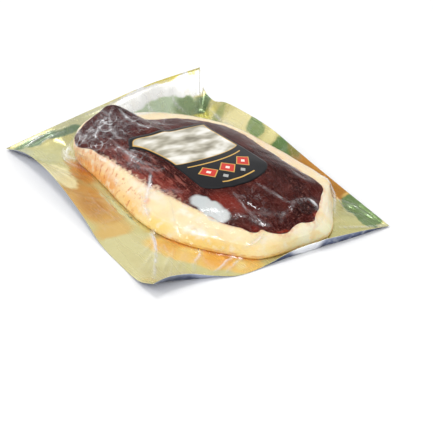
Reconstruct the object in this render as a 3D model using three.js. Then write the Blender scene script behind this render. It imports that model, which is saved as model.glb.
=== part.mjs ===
// A vacuum pack of dried duck breast, lying flat with the meat up.
//
// Millimetres, +Z up. +Y runs along the bag to its curled far end, +X across it.
// Z = 0 is the flat underside of the bag, below the breast.
//
// Every body but the label shares one set of rays. They run from a point inside the
// breast to points spread round the edge of the bag. Each body is a stack of rings that
// cross those rays, so neighbours lie parallel and keep an even gap.

import * as THREE from 'three';

// ---- bag ------------------------------------------------------------------------------

const BACK_THICKNESS = 0.5;
const FRONT_THICKNESS = 0.4;
const GAP = 0.3;
const WEB_REACH = 4.5;
const WEB_SHARE = 0.4;
const KNEE_SHARE = 0.75;
const RISE_POWER = 1.6;

// The edge of the bag, anticlockwise from the near left corner. Each point is x, y, the
// height above the table, and how far in from the edge the film starts to rise.
const NEAR_EDGE = [
  [-80, -113, 8, 18],
  [-70, -110, 7.5, 9],
  [-57, -110.5, 6, 4],
  [-42, -114, 2, 2],
  [-28, -118, 0, 2],
  [-10, -117.5, 0.8, 1],
  [8, -116.5, 4, 1],
  [30, -116.5, 5, 1],
  [58, -116.5, 3.4, 1],
  [81, -116, 0.6, 2],
];
const RIGHT_EDGE = [
  [81, -116, 0.6, 2],
  [81, -92, 3, 12],
  [81, -60, 6.5, 12],
  [80.5, -20, 11.5, 16],
  [80.5, 15, 16, 22],
  [80.5, 48, 16, 26],
  [80.5, 78, 14, 26],
  [80.5, 96, 9.5, 20],
  [80.5, 110, 13.5, 16],
  [81, 118, 29, 20],
];
const FAR_EDGE = [
  [81, 118, 29, 20],
  [36, 116, 24.5, 30],
  [-6, 114, 16.5, 30],
  [-46, 112, 8.5, 26],
  [-81, 110, 1, 12],
];
const LEFT_EDGE = [
  [-81, 110, 1, 12],
  [-78, 80, 9, 26],
  [-77, 50, 11, 30],
  [-77, 22, 9.5, 28],
  [-78.5, -15, 5, 24],
  [-81, -48, 0.6, 18],
  [-81, -80, 0, 14],
  [-81, -98, 2, 14],
  [-80, -113, 8, 18],
];
const NEAR_STEPS = 14;
const RIGHT_STEPS = 18;
const FAR_STEPS = 14;
const LEFT_STEPS = 18;

// ---- breast ---------------------------------------------------------------------------

const CENTRE = new THREE.Vector2(8, -8);
const CROWN_HEIGHT = 26;
const CROWN_POWER = 2.4;
const FAT_UNDER_LEAN = 7;
const LEAN_WALL_RUN = 3;

// Closed outlines of the breast, round CENTRE: x, y, and the height above the table.
const FOOT = [
  [-44, 76, 0.8], [-44, 55, 0.8], [-44, 34, 0.8], [-44.5, 11, 0.8], [-45.5, -12, 0.8],
  [-46, -34, 0.8], [-42.5, -57, 0.8], [-34, -76, 0.8], [-22, -93, 0.8], [-9, -107, 0.8],
  [18, -111, 0.8], [38, -108, 0.8], [52, -97, 0.8], [63, -81, 0.8], [69, -60, 0.8],
  [69, -30, 0.8], [67, 0, 0.8], [58, 48, 0.8], [35, 85, 0.8], [-5, 98, 0.8], [-36, 92, 0.8],
];
const SHOULDER = [
  [-42.5, 74, 9], [-42.5, 44, 10], [-42.5, 15, 10], [-43.5, -12, 9.5], [-43.5, -34, 9],
  [-39, -57, 8.5], [-30, -76, 8], [-9, -104, 7], [18, -109, 7], [36, -105, 8.5],
  [49, -95, 10.5], [60, -80, 13], [66, -62, 14.5], [67, -30, 15.5], [64, 0, 16],
  [55, 44, 16], [32, 81, 15], [-5, 93, 16], [-34, 88, 13],
];
const LEAN_EDGE = [
  [-43, 64, 14.5], [-41, 30, 15], [-38, -8, 16], [-33, -36, 16], [-22, -61, 15],
  [-13, -83, 13], [-5, -98, 11.5], [10, -104, 11], [28, -103, 11.5], [42, -94, 13],
  [54, -80, 16], [60, -55, 18.5], [58, -12, 20], [48, 30, 21.5], [27, 53, 22],
  [4, 62, 23], [-8, 82, 29], [-22, 84, 26], [-38, 78, 19],
];

// ---- label ----------------------------------------------------------------------------

const LABEL_CENTRE = new THREE.Vector2(10, -13);
const LABEL_TURN = THREE.MathUtils.degToRad(3.5);
const LABEL_HALF = 25;
const LABEL_FLARE = 6;
const LABEL_FLARE_POWER = 5;
const LABEL_LENGTH = 94;
const LABEL_ARC_DEPTH = 18;
const LABEL_ARC_REACH = 0.98;
const LABEL_THICKNESS = 0.3;
const LABEL_GAP = 0.4;
const LABEL_COLUMNS = 10;
const LABEL_ROWS = 12;

// ---- materials ------------------------------------------------------------------------

const finish = (color, roughness, metalness) =>
  new THREE.MeshStandardMaterial({ color, roughness, metalness });
const GOLD_FILM = finish('#dccb93', 0.28, 0.9);
const CLEAR_FILM = finish('#eef0ee', 0.12, 0);
const DUCK_FAT = finish('#fbd9a0', 0.45, 0);
const DRIED_LEAN = finish('#4b2220', 0.35, 0);
const LABEL_PAPER = finish('#26262a', 0.4, 0);

// ---- rays and outlines ----------------------------------------------------------------

// A closed outline as a function of direction: its reach from CENTRE, and its height.
// Between the given points 1 / reach, which suits straight sides, and height are cubics
// that keep their slopes.
function outline(points) {
  const knots = points
    .map(([x, y, height]) => ({
      angle: Math.atan2(y - CENTRE.y, x - CENTRE.x),
      value: new THREE.Vector2(1 / Math.hypot(x - CENTRE.x, y - CENTRE.y), height),
    }))
    .sort((a, b) => a.angle - b.angle);
  const knot = (i) => {
    const turns = Math.floor(i / knots.length);
    const { angle, value } = knots[i - turns * knots.length];
    return { angle: angle + turns * 2 * Math.PI, value };
  };
  const slope = (i) => {
    const before = knot(i - 1);
    const after = knot(i + 1);
    return after.value.clone().sub(before.value).divideScalar(after.angle - before.angle);
  };
  return (angle) => {
    let i = -1;
    while (knot(i + 1).angle <= angle) i += 1;
    const start = knot(i);
    const end = knot(i + 1);
    const span = end.angle - start.angle;
    const t = (angle - start.angle) / span;
    const sum = start.value.clone().multiplyScalar((1 + 2 * t) * (1 - t) ** 2);
    sum.addScaledVector(slope(i), span * t * (1 - t) ** 2);
    sum.addScaledVector(end.value, t * t * (3 - 2 * t));
    sum.addScaledVector(slope(i + 1), span * t * t * (t - 1));
    return { reach: 1 / sum.x, height: sum.y };
  };
}

const foot = outline(FOOT);
const shoulder = outline(SHOULDER);
const leanEdge = outline(LEAN_EDGE);

// Rays to one side of the bag, without its last point, which starts the next side.
function raysTo(side, steps) {
  const route = new THREE.CatmullRomCurve3(side.map(([x, y, z]) => new THREE.Vector3(x, y, z)));
  const rises = new THREE.SplineCurve(side.map((point, i) => new THREE.Vector2(i, point[3])));
  return Array.from({ length: steps }, (_, i) => {
    const point = route.getPoint(i / steps);
    const offset = new THREE.Vector2(point.x, point.y).sub(CENTRE);
    const angle = Math.atan2(offset.y, offset.x);
    const ray = {
      direction: offset.clone().normalize(),
      reach: offset.length(),
      edgeHeight: Math.max(point.z, 0),
      foot: foot(angle),
      shoulder: shoulder(angle),
      lean: leanEdge(angle),
    };
    ray.rise = Math.min(rises.getPoint(i / steps).y, ray.reach - ray.foot.reach - 1);
    return ray;
  });
}

const RAYS = [
  ...raysTo(NEAR_EDGE, NEAR_STEPS),
  ...raysTo(RIGHT_EDGE, RIGHT_STEPS),
  ...raysTo(FAR_EDGE, FAR_STEPS),
  ...raysTo(LEFT_EDGE, LEFT_STEPS),
];

// ---- rings ----------------------------------------------------------------------------

// A ring holds one point for each ray, at the reach and the height that place gives.
const ring = (place) => RAYS.map((ray) => {
  const { reach, height } = place(ray);
  const x = CENTRE.x + ray.direction.x * reach;
  const y = CENTRE.y + ray.direction.y * reach;
  return new THREE.Vector3(x, y, height);
});

// Rings moved along the normals of the surface that they lie on, upwards if positive.
function offsetRings(rings, distance) {
  return rings.map((points, j) => points.map((point, i) => {
    const inwards = rings[Math.max(j - 1, 0)][i].clone().sub(point).normalize();
    const outwards = rings[Math.min(j + 1, rings.length - 1)][i].clone().sub(point).normalize();
    const round = points[(i + 1) % points.length].clone().sub(points.at(i - 1));
    const normal = outwards.sub(inwards).cross(round);
    if (normal.length() === 0) normal.set(0, 0, 1);
    return point.clone().addScaledVector(normal.normalize(), distance);
  }));
}

// A closed body spun through the rings. The first and the last ring are single points.
function ringBody(name, rings, material) {
  const profile = rings.map((_, i) => new THREE.Vector2(1, i));
  const geometry = new THREE.LatheGeometry(profile, RAYS.length);
  const position = geometry.getAttribute('position');
  for (let i = 0; i < position.count; i += 1) {
    const ray = Math.floor(i / rings.length) % RAYS.length;
    position.setXYZ(i, ...rings[i % rings.length][ray]);
  }
  splitAlike(geometry);
  geometry.computeVertexNormals();
  const mesh = new THREE.Mesh(geometry, material);
  mesh.name = name;
  return mesh;
}

// Splits each four-sided face along the diagonal that leans the same way round CENTRE,
// whether its rings run outwards or inwards, so that parallel surfaces stay parallel.
function splitAlike(geometry) {
  const position = geometry.getAttribute('position');
  const index = geometry.getIndex();
  const reach = (i) => Math.hypot(position.getX(i) - CENTRE.x, position.getY(i) - CENTRE.y);
  for (let face = 0; face < index.count; face += 6) {
    const [a, b, d, c] = [0, 1, 2, 3].map((corner) => index.getX(face + corner));
    if (reach(d) < reach(a)) {
      [a, b, c, a, c, d].forEach((vertex, corner) => index.setX(face + corner, vertex));
    }
  }
}

// ---- surfaces -------------------------------------------------------------------------

// The top of the lean, at a share of the way from CENTRE to its edge.
const leanTop = (share) => ring(({ lean }) => ({
  reach: lean.reach * share,
  height: lean.height + (CROWN_HEIGHT - lean.height) * (1 - share ** CROWN_POWER),
}));

// The band of fat from the edge of the lean out to the shoulder.
const fatBand = (share) => ring(({ lean, shoulder }) => ({
  reach: THREE.MathUtils.lerp(lean.reach, shoulder.reach, share),
  height: THREE.MathUtils.lerp(lean.height, shoulder.height, share),
}));

// The rounded side of the fat, from the shoulder (90 degrees) down to the foot (0).
const fatSide = (degrees) => ring(({ shoulder, foot }) => {
  const turn = THREE.MathUtils.degToRad(degrees);
  return {
    reach: THREE.MathUtils.lerp(shoulder.reach, foot.reach, Math.cos(turn)),
    height: THREE.MathUtils.lerp(foot.height, shoulder.height, Math.sin(turn)),
  };
});

// The underside of the bag, from where the films meet (0) to the edge (1). The last ring
// before the edge, at the knee, is where a steep lip starts to rise.
const flange = (share) => ring(({ foot, reach, edgeHeight, rise }) => {
  const web = Math.min(WEB_REACH, (reach - foot.reach) * WEB_SHARE);
  const width = reach - foot.reach - web;
  const knee = Math.min(rise, width * (1 - KNEE_SHARE));
  const inset = share < KNEE_SHARE
    ? THREE.MathUtils.lerp(width, knee, share / KNEE_SHARE)
    : THREE.MathUtils.mapLinear(share, KNEE_SHARE, 1, knee, 0);
  const raised = Math.max(0, 1 - inset / rise);
  return { reach: reach - inset, height: edgeHeight * raised ** RISE_POWER };
});

// The flat underside of the bag below the breast.
const floor = (share) => ring(({ foot }) => ({ reach: foot.reach * share, height: 0 }));

// The bed of the lean: it drops inside the rim of the fat, then runs on to the middle.
const bed = (share, gap) => ring(({ lean }) => ({
  reach: (lean.reach - LEAN_WALL_RUN - gap) * share,
  height: FAT_UNDER_LEAN + gap,
}));

// The edge of the lean, a gap inside the rim of the fat.
const leanRim = ring(({ lean }) => ({ reach: lean.reach - 2 * GAP, height: lean.height }));

// The underside of the fat, level just above the back film.
const fatUnderside = (share) => ring(({ foot }) => ({
  reach: foot.reach * share,
  height: foot.height,
}));

const leanRings = [0, 0.3, 0.55, 0.77, 0.92].map(leanTop);
const fatRings = [fatBand(0), fatBand(0.5), ...[90, 50, 24].map(fatSide)];
const floorRings = [0, 0.5, 0.97].map(floor);
const flangeRings = [0, 0.25, 0.5, 0.75, 1].map(flange);

// The bag's underside raised by a distance, all the way from the middle to the edge.
const sheet = (distance) => offsetRings([...floorRings, ...flangeRings], distance);

// ---- sub-parts ------------------------------------------------------------------------

function backFilm() {
  return ringBody('back_film', [...sheet(0), ...sheet(BACK_THICKNESS).reverse()], GOLD_FILM);
}

function frontFilm() {
  const under = [
    ...offsetRings([...leanRings, ...fatRings], GAP),
    ...sheet(BACK_THICKNESS + GAP).slice(floorRings.length),
  ];
  const over = offsetRings(under, FRONT_THICKNESS);
  return ringBody('front_film', [...under, ...over.reverse()], CLEAR_FILM);
}

function fatLayer() {
  const rings = [
    ...[0, 0.6, 0.97].map(fatUnderside), fatSide(8),
    ...fatRings.toReversed(), ...[1, 0.5, 0].map((share) => bed(share, 0)),
  ];
  return ringBody('fat_layer', rings, DUCK_FAT);
}

function leanMeat() {
  const rings = [
    ...[0, 0.5, 1].map((share) => bed(share, GAP)), leanRim, ...leanRings.toReversed(),
  ];
  return ringBody('lean_meat', rings, DRIED_LEAN);
}

// A spot on the label: across runs from -1 to 1, and share from the low end (0) to the top.
function labelSpot(across, share) {
  const half = LABEL_HALF + LABEL_FLARE * share ** LABEL_FLARE_POWER;
  const arc = 1 - Math.sqrt(1 - (LABEL_ARC_REACH * across) ** 2);
  const along = (share - 0.5) * LABEL_LENGTH + LABEL_ARC_DEPTH * arc * (1 - share);
  return new THREE.Vector2(across * half, along)
    .rotateAround(new THREE.Vector2(), LABEL_TURN)
    .add(LABEL_CENTRE);
}

// The label lies on the front film, which gives its height at each spot.
function label(film) {
  const geometry = new THREE.BoxGeometry(2, 1, 1, LABEL_COLUMNS, LABEL_ROWS, 1);
  const position = geometry.getAttribute('position');
  const down = new THREE.Vector3(0, 0, -1);
  film.updateMatrixWorld();
  for (let i = 0; i < position.count; i += 1) {
    const { x, y } = labelSpot(position.getX(i), position.getY(i) + 0.5);
    const above = new THREE.Vector3(x, y, 2 * CROWN_HEIGHT);
    const [hit] = new THREE.Raycaster(above, down).intersectObject(film);
    const lift = position.getZ(i) > 0 ? LABEL_GAP + LABEL_THICKNESS : LABEL_GAP;
    position.setXYZ(i, x, y, hit.point.z + lift);
  }
  geometry.computeVertexNormals();
  const mesh = new THREE.Mesh(geometry, LABEL_PAPER);
  mesh.name = 'label';
  return mesh;
}

const group = new THREE.Group();
const film = frontFilm();
group.add(backFilm(), fatLayer(), leanMeat(), film, label(film));

export default group;
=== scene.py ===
"""A vacuum pack of dried duck breast: gold back film, fat, lean meat, clear film and sticker.

Every piece but the sticker is a stack of rings on one set of rays. The rays run from a point
inside the breast to points spread round the edge of the bag, so the pieces nest without
fitting. Shapes are worked out in millimetres and placed in metres.
"""

from __future__ import annotations

import logging
import math
import random
from collections.abc import Sequence
from dataclasses import dataclass, field

import bmesh
import bpy
import numpy as np
from mathutils import Euler, Matrix, Vector
from mathutils.bvhtree import BVHTree


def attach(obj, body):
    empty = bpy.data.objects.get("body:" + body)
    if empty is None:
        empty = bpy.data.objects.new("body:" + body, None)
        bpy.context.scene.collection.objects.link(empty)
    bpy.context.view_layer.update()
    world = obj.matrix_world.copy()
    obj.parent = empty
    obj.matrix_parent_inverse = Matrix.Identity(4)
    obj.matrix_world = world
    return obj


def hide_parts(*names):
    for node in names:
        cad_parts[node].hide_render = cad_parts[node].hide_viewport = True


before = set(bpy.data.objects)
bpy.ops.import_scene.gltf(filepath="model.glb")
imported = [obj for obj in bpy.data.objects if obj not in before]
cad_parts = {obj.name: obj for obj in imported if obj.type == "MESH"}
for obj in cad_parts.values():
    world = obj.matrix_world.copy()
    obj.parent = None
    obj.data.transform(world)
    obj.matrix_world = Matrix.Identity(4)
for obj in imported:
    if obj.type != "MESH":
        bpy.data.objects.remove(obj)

LOG = logging.getLogger("duck_breast_pack")
MM = 0.001
MERGE_DISTANCE = 1e-7  # metres
CREASE_STEPS = 6  # straight pieces between two knots of a crease
CREASE_TAPER = 0.6  # below 1, a crease keeps its height nearer to its ends
CREASE_FALL = 1.4  # how steeply a crease falls off to its sides

Knots = tuple[tuple[float, ...], ...]  # the points of a line, or rows of measures
Triple = tuple[float, float, float]
Range = tuple[float, float]
Step = tuple[float, ...]  # where a mask starts, where it is full, and its share if that isn't 1
Colour = tuple[float, float, float, float]
Socket = bpy.types.NodeSocket

NUMBER = "NodeSocketFloat"
VECTOR = "NodeSocketVector"


# ---- shapes -----------------------------------------------------------------------------


def hermite(start: np.ndarray, end: np.ndarray, leave: np.ndarray, arrive: np.ndarray,
            share: np.ndarray) -> np.ndarray:
    """Blends two values with a cubic that keeps their slopes.

    Args:
        start: Values at share 0.
        end: Values at share 1.
        leave: Slopes at the start, for one unit of share.
        arrive: Slopes at the end, for one unit of share.
        share: How far along, from 0 to 1.

    Returns:
        The blended values.
    """
    rest = 1 - share
    held = (1 + 2 * share) * rest**2 * start + share**2 * (3 - 2 * share) * end
    return held + share * rest**2 * leave - share**2 * rest * arrive


def smooth_route(knots: Knots, steps: int) -> np.ndarray:
    """Spreads points along a centripetal curve through knots.

    Args:
        knots: The points that the curve passes through.
        steps: How many points to make. The last knot isn't one of them.

    Returns:
        One row for each point, with as many columns as a knot.
    """
    points = np.array(knots, float)
    ends = np.vstack([2 * points[0] - points[1], points, 2 * points[-1] - points[-2]])
    gaps = np.sqrt(np.linalg.norm(np.diff(ends[:, :3], axis=0), axis=1))
    place = np.arange(steps) / steps * (len(points) - 1)
    i = place.astype(int)
    a, b, c, d = (ends[i + k] for k in range(4))
    before, span, after = (gaps[i + k][:, None] for k in range(3))
    leave = ((b - a) / before - (c - a) / (before + span) + (c - b) / span) * span
    arrive = ((c - b) / span - (d - b) / (span + after) + (d - c) / after) * span
    return hermite(b, c, leave, arrive, (place - i)[:, None])


def smooth_step(value: np.ndarray, low: float, high: float) -> np.ndarray:
    """Returns 0 below low, 1 above high, and a smooth rise between them."""
    share = np.clip((value - low) / (high - low), 0, 1)
    return share * share * (3 - 2 * share)


def lerp(start: np.ndarray, end: np.ndarray, share: np.ndarray | float) -> np.ndarray:
    """Returns the value at a share of the way from start to end."""
    return start + (end - start) * share


@dataclass(frozen=True)
class Outline:
    """A closed outline seen from above, as knots of x, y and height."""

    knots: Knots

    def at(self, angles: np.ndarray, centre: np.ndarray) -> tuple[np.ndarray, np.ndarray]:
        """Finds where the outline lies in some directions.

        Args:
            angles: Directions from the centre, in radians.
            centre: The point that the directions start from.

        Returns:
            The reach from the centre and the height, one for each direction.
        """
        x, y, height = np.array(self.knots).T
        x, y = x - centre[0], y - centre[1]
        turn = np.arctan2(y, x)
        order = np.argsort(turn)
        value = np.stack([1 / np.hypot(x, y), height])[:, order]
        turn = np.concatenate([turn[order] + lap * math.tau for lap in (-1, 0, 1)])
        value = np.tile(value, 3)
        rise = np.roll(value, -1, 1) - np.roll(value, 1, 1)
        slope = rise / (np.roll(turn, -1) - np.roll(turn, 1))
        i = np.searchsorted(turn, angles, side="right") - 1
        span = turn[i + 1] - turn[i]
        share = (angles - turn[i]) / span
        blend = hermite(value[:, i], value[:, i + 1], slope[:, i] * span,
                        slope[:, i + 1] * span, share)
        return 1 / blend[0], blend[1]


@dataclass(frozen=True)
class Crease:
    """A fold in a film, seen from above."""

    route: Knots
    height: float
    width: float
    # How strong the fold's painted white highlight is.
    fold_sheen: float = 0.0

    def mark(self, places: np.ndarray) -> np.ndarray:
        """Finds how strongly the fold shows at some places.

        Args:
            places: One row of x and y for each place.

        Returns:
            A number from 0 to 1 for each place.
        """
        steps = CREASE_STEPS * (len(self.route) - 1)
        points = np.vstack([smooth_route(self.route, steps), self.route[-1]])
        mark = np.zeros(len(places))
        for i, (start, end) in enumerate(zip(points[:-1], points[1:])):
            along = end - start
            share = np.clip((places - start) @ along / (along @ along), 0, 1)
            distance = np.linalg.norm(places - start - share[:, None] * along, axis=1)
            taper = np.sin(np.pi * np.clip((i + share) / steps, 0, 1)) ** CREASE_TAPER
            mark = np.maximum(mark, taper * np.exp(-((distance / self.width) ** CREASE_FALL)))
        return mark


@dataclass(frozen=True)
class Lump:
    """A round swelling, seen from above."""

    x: float
    y: float
    radius: float
    height: float

    def rise(self, places: np.ndarray) -> np.ndarray:
        """Returns the height that the swelling adds at each place."""
        distance = np.linalg.norm(places - (self.x, self.y), axis=1)
        return self.height * np.exp(-((distance / self.radius) ** 2))


def relief(places: np.ndarray, creases: Sequence[Crease]) -> np.ndarray:
    """Adds up the heights of folds.

    Args:
        places: Points of any array shape, with x and y first in the last axis.
        creases: The folds.

    Returns:
        One height for each point.
    """
    flat = places[..., :2].reshape(-1, 2)
    total = sum((crease.height * crease.mark(flat) for crease in creases), np.zeros(len(flat)))
    return total.reshape(places.shape[:-1])


def fold_sheen(places: np.ndarray, creases: Sequence[Crease]) -> np.ndarray:
    """Finds how strong the painted white highlight of the strongest fold is at each point.

    Args:
        places: Points of any array shape, with x and y first in the last axis.
        creases: The folds.

    Returns:
        A number from 0 to 1 for each point.
    """
    flat = places[..., :2].reshape(-1, 2)
    total = np.zeros(len(flat))
    for crease in creases:
        total = np.maximum(total, crease.fold_sheen * crease.mark(flat))
    return total.reshape(places.shape[:-1])


@dataclass
class PackShape:
    """The rays of the pack, and the rings that its pieces are made of, in millimetres.

    A knot of the bag's edge is x, y, height and the width over which the flange rises to it. A
    wave is a count round the pack, a start and a size. A tent is a direction, a spread and a
    strength, where the clear film stands off the foot of the fat.
    """

    near_edge: Knots = ((-80, -113, 8, 18), (-70, -110, 7.5, 9), (-57, -110.5, 6, 4),
                        (-42, -114, 2, 2), (-28, -118, 0, 2), (-10, -117.5, 0.8, 1),
                        (8, -116.5, 4, 1), (30, -116.5, 5, 1), (58, -116.5, 3.4, 1),
                        (81, -116, 0.6, 2))
    right_edge: Knots = ((81, -116, 0.6, 2), (81, -92, 3, 12), (81, -60, 6.5, 12),
                         (80.5, -20, 11.5, 16), (80.5, 15, 16, 22), (80.5, 48, 16, 26),
                         (80.5, 78, 14, 26), (80.5, 96, 9.5, 20), (80.5, 110, 13.5, 16),
                         (81, 118, 29, 20))
    far_edge: Knots = ((81, 118, 29, 20), (36, 116, 24.5, 30), (-6, 114, 16.5, 30),
                       (-46, 112, 8.5, 26), (-81, 110, 1, 12))
    left_edge: Knots = ((-81, 110, 1, 12), (-78, 80, 9, 26), (-77, 50, 11, 30),
                        (-77, 22, 9.5, 28), (-78.5, -15, 5, 24), (-81, -48, 0.6, 18),
                        (-81, -80, 0, 14), (-81, -98, 2, 14), (-80, -113, 8, 18))
    steps: tuple[int, int, int, int] = (92, 124, 92, 124)
    centre: tuple[float, float] = (8, -8)
    foot_line: Outline = Outline((
        (-41, 76, 0.4), (-44.5, 60, 0.4), (-44, 34, 0.4), (-44.5, 11, 0.4), (-45.5, -12, 0.4),
        (-46, -34, 0.4), (-42.5, -57, 0.4), (-34, -76, 0.4), (-22, -93, 0.4), (-9, -107, 0.4),
        (18, -109.5, 0.4), (37, -107, 0.4), (47.5, -99, 0.4), (54, -90, 0.4), (61, -80, 0.4),
        (67.5, -70, 0.4), (69, -58, 0.4), (68, -30, 0.4), (67, 0, 0.4), (58, 48, 0.4),
        (35, 85, 0.4), (-5, 98, 0.4), (-31, 90, 0.4)))
    shoulder_line: Outline = Outline((
        (-43.5, 75, 12), (-47.6, 67, 9.5), (-47.2, 58, 9), (-43.5, 44, 10), (-42.5, 15, 10),
        (-43.5, -12, 9.5), (-43.5, -34, 9), (-39, -57, 8.5), (-30, -76, 8), (-9, -104, 7),
        (18, -109, 7), (36, -105, 8),
        (47.5, -96, 10), (56.5, -85, 12), (64, -76, 13.5), (69, -68.5, 14.5), (68.5, -58, 15),
        (67, -30, 15.5), (64, 0, 16), (55, 44, 16), (32, 81, 15), (-5, 93, 16), (-33, 88, 15)))
    lean_line: Outline = Outline((
        (-46.3, 67, 14.5), (-46, 59, 13.5), (-42, 52, 14.5), (-40.5, 39, 15), (-37.8, 26, 15),
        (-37, 14, 15), (-36, 1, 15.5), (-35.7, -11, 15.5), (-34.2, -21, 15.5),
        (-31, -29, 15.5), (-29.4, -38, 15.5), (-27.2, -47, 15.3), (-24.6, -56, 15),
        (-22.5, -64, 14.7), (-19.2, -73, 13.6), (-16, -81, 12.7), (-12.5, -87, 12.4),
        (-9.5, -92, 12.3), (-8.3, -97, 11.7), (-4, -99.5, 11.3), (-0.5, -98.5, 11.3),
        (2, -101.5, 11.2), (6.5, -106, 11), (13, -106.5, 11), (18, -103.5, 11.5),
        (23.5, -103, 12), (28, -105, 11.8), (32.5, -104.5, 11.7), (35.5, -101, 12.2),
        (41, -96.5, 13), (46, -90.5, 13.8), (51, -85, 15), (57, -79.5, 16.3),
        (58.2, -70, 17.5), (56.2, -55, 18.5), (54.5, -35, 19.3), (53.5, -8, 20),
        (46.5, 30, 21.5), (27, 53, 22), (4, 62, 23), (-8, 82, 29), (-22, 83.5, 24.5),
        (-39.5, 77, 17.5)))
    crown_height: float = 26
    crown_power: float = 2.4
    right_power: float = 2.6
    right_turn: float = 10
    bulge: float = 0.9
    apron: float = 0.7
    apron_power: int = 4
    ragged: float = 0.45
    waves: Knots = ((9, 0.4, 0.3), (17, 1.9, 0.35), (31, 4.0, 0.3), (53, 2.2, 0.25), (71, 5.1, 0.2))
    web_reach: float = 4.5
    web_share: float = 0.4
    tent_reach: float = 2.4
    tents: Knots = ((124, 13, 1.0), (-49, 7, 1), (-121, 5, 0.6), (-150, 6, 0.4), (20, 9, 0.5))
    knee_share: float = 0.75
    rise_power: float = 1.6
    least_flat: float = 1
    lumps: tuple[Lump, ...] = (
        Lump(-5, -96, 3.2, 1.6), Lump(-1, -99, 2.2, 1.2), Lump(31, -95, 9, 1.6),
        Lump(42, -90, 5, 1.0), Lump(14, -94, 7, 0.8), Lump(-8, -88, 3, 0.7),
        Lump(-17, -64, 6, 0.9), Lump(-30, 60, 12, 1.4), Lump(20, 20, 22, -0.8))
    grooves: tuple[Crease, ...] = (
        Crease(((21, -97), (23, -88), (32, -83), (43, -84), (55, -79)), -1.3, 1.8),
        Crease(((16, -59), (21, -67), (23, -78), (30, -85)), -0.6, 1.6),
        Crease(((-2, -60), (1, -74), (7, -88), (12, -99)), -0.5, 1.8),
        Crease(((-8, 80), (-6, 66), (2, 52)), -1.2, 3),
        Crease(((-38, 76), (-36, 68), (-30, 62)), -1.6, 2.2),
        Crease(((-43, 66), (-37, 58), (-31, 52)), -0.8, 1.8),
        Crease(((-24, 80), (-28, 70), (-34, 62)), -0.9, 1.8),
        Crease(((-16, 78), (-21, 66), (-22, 54)), -0.9, 1.8),
        Crease(((-30, 50), (-24, 44), (-20, 36)), -0.7, 1.8),
        Crease(((-30, -2), (-27, -20), (-20, -42)), -0.4, 2))

    def __post_init__(self) -> None:
        """Works out where each ray meets the edge of the bag and the outlines of the breast."""
        sides = (self.near_edge, self.right_edge, self.far_edge, self.left_edge)
        edge = np.vstack([smooth_route(*pair) for pair in zip(sides, self.steps)])
        offset = edge[:, :2] - self.centre
        self.reach = np.linalg.norm(offset, axis=1)
        self.direction = offset / self.reach[:, None]
        self.angle = np.arctan2(offset[:, 1], offset[:, 0])
        self.edge_height = np.maximum(edge[:, 2], 0)
        self.foot, self.foot_height = self.foot_line.at(self.angle, self.centre)
        self.shoulder, self.shoulder_height = self.shoulder_line.at(self.angle, self.centre)
        self.lean, self.lean_height = self.lean_line.at(self.angle, self.centre)
        self.lean = self.lean + self.ragged * self.wobble()
        rightwards = np.maximum(0, np.cos(self.angle + math.radians(self.right_turn)))
        self.crown = self.crown_power + self.right_power * rightwards**2
        self.tent = self.tenting()
        self.web = np.minimum(self.web_reach * (1 + self.tent_reach * self.tent),
                              (self.reach - self.foot) * self.web_share)
        self.rise = np.minimum(edge[:, 3], self.reach - self.foot - self.least_flat)

    def wobble(self) -> np.ndarray:
        """Returns an uneven wave round the rays, from about -1 to 1."""
        return sum(size * np.sin(count * self.angle + start) for count, start, size in self.waves)

    def tenting(self) -> np.ndarray:
        """Finds how far the clear film stands off the foot of the fat.

        Returns:
            A number from 0 to 1 for each ray.
        """
        total = np.zeros(len(self.angle))
        for middle, spread, amount in self.tents:
            turn = (np.degrees(self.angle) - middle + 180) % 360 - 180
            total += amount * np.exp(-((turn / spread) ** 2))
        return np.minimum(total, 1)

    def ring(self, reach: np.ndarray, height: np.ndarray | float) -> np.ndarray:
        """Places one point on each ray.

        Args:
            reach: How far from the centre.
            height: How high above the table.

        Returns:
            One row of x, y and z for each ray.
        """
        plan = self.direction * np.reshape(reach, (-1, 1)) + self.centre
        return np.column_stack([plan, np.broadcast_to(height, len(plan))])

    def muscle(self, places: np.ndarray) -> np.ndarray:
        """Finds the height that swellings and grooves add to the breast.

        Args:
            places: Points of any array shape, with x and y first in the last axis.

        Returns:
            One height for each point.
        """
        flat = places[..., :2].reshape(-1, 2)
        swell = sum((lump.rise(flat) for lump in self.lumps), np.zeros(len(flat)))
        return swell.reshape(places.shape[:-1]) + relief(places, self.grooves)

    def shaped(self, rings: list[np.ndarray]) -> np.ndarray:
        """Stacks rings of the breast's skin and adds the muscle's relief to them.

        Args:
            rings: The rings, each with one point for each ray.

        Returns:
            The rings as one array, ring by ring and ray by ray.
        """
        stack = np.array(rings)
        stack[..., 2] += self.muscle(stack)
        return stack

    def lean_top(self, count: int) -> np.ndarray:
        """Makes the rings of the lean's top.

        Args:
            count: How many rings.

        Returns:
            The rings, from the centre to the lean's edge.
        """
        rings = []
        for share in np.linspace(0, 1, count):
            drop = (self.crown_height - self.lean_height) * (1 - share**self.crown)
            rings.append(self.ring(self.lean * share, self.lean_height + drop))
        return self.shaped(rings)

    def fat_band(self, count: int) -> np.ndarray:
        """Makes the rings of the fat's top.

        Args:
            count: How many rings.

        Returns:
            The rings, from the edge of the lean to the shoulder.
        """
        shares = np.linspace(0, 1, count)
        bulges = self.bulge * np.sin(np.pi * shares)
        return self.shaped([
            self.ring(lerp(self.lean, self.shoulder, share),
                      lerp(self.lean_height, self.shoulder_height, share) + bulge)
            for share, bulge in zip(shares, bulges)])

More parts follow.
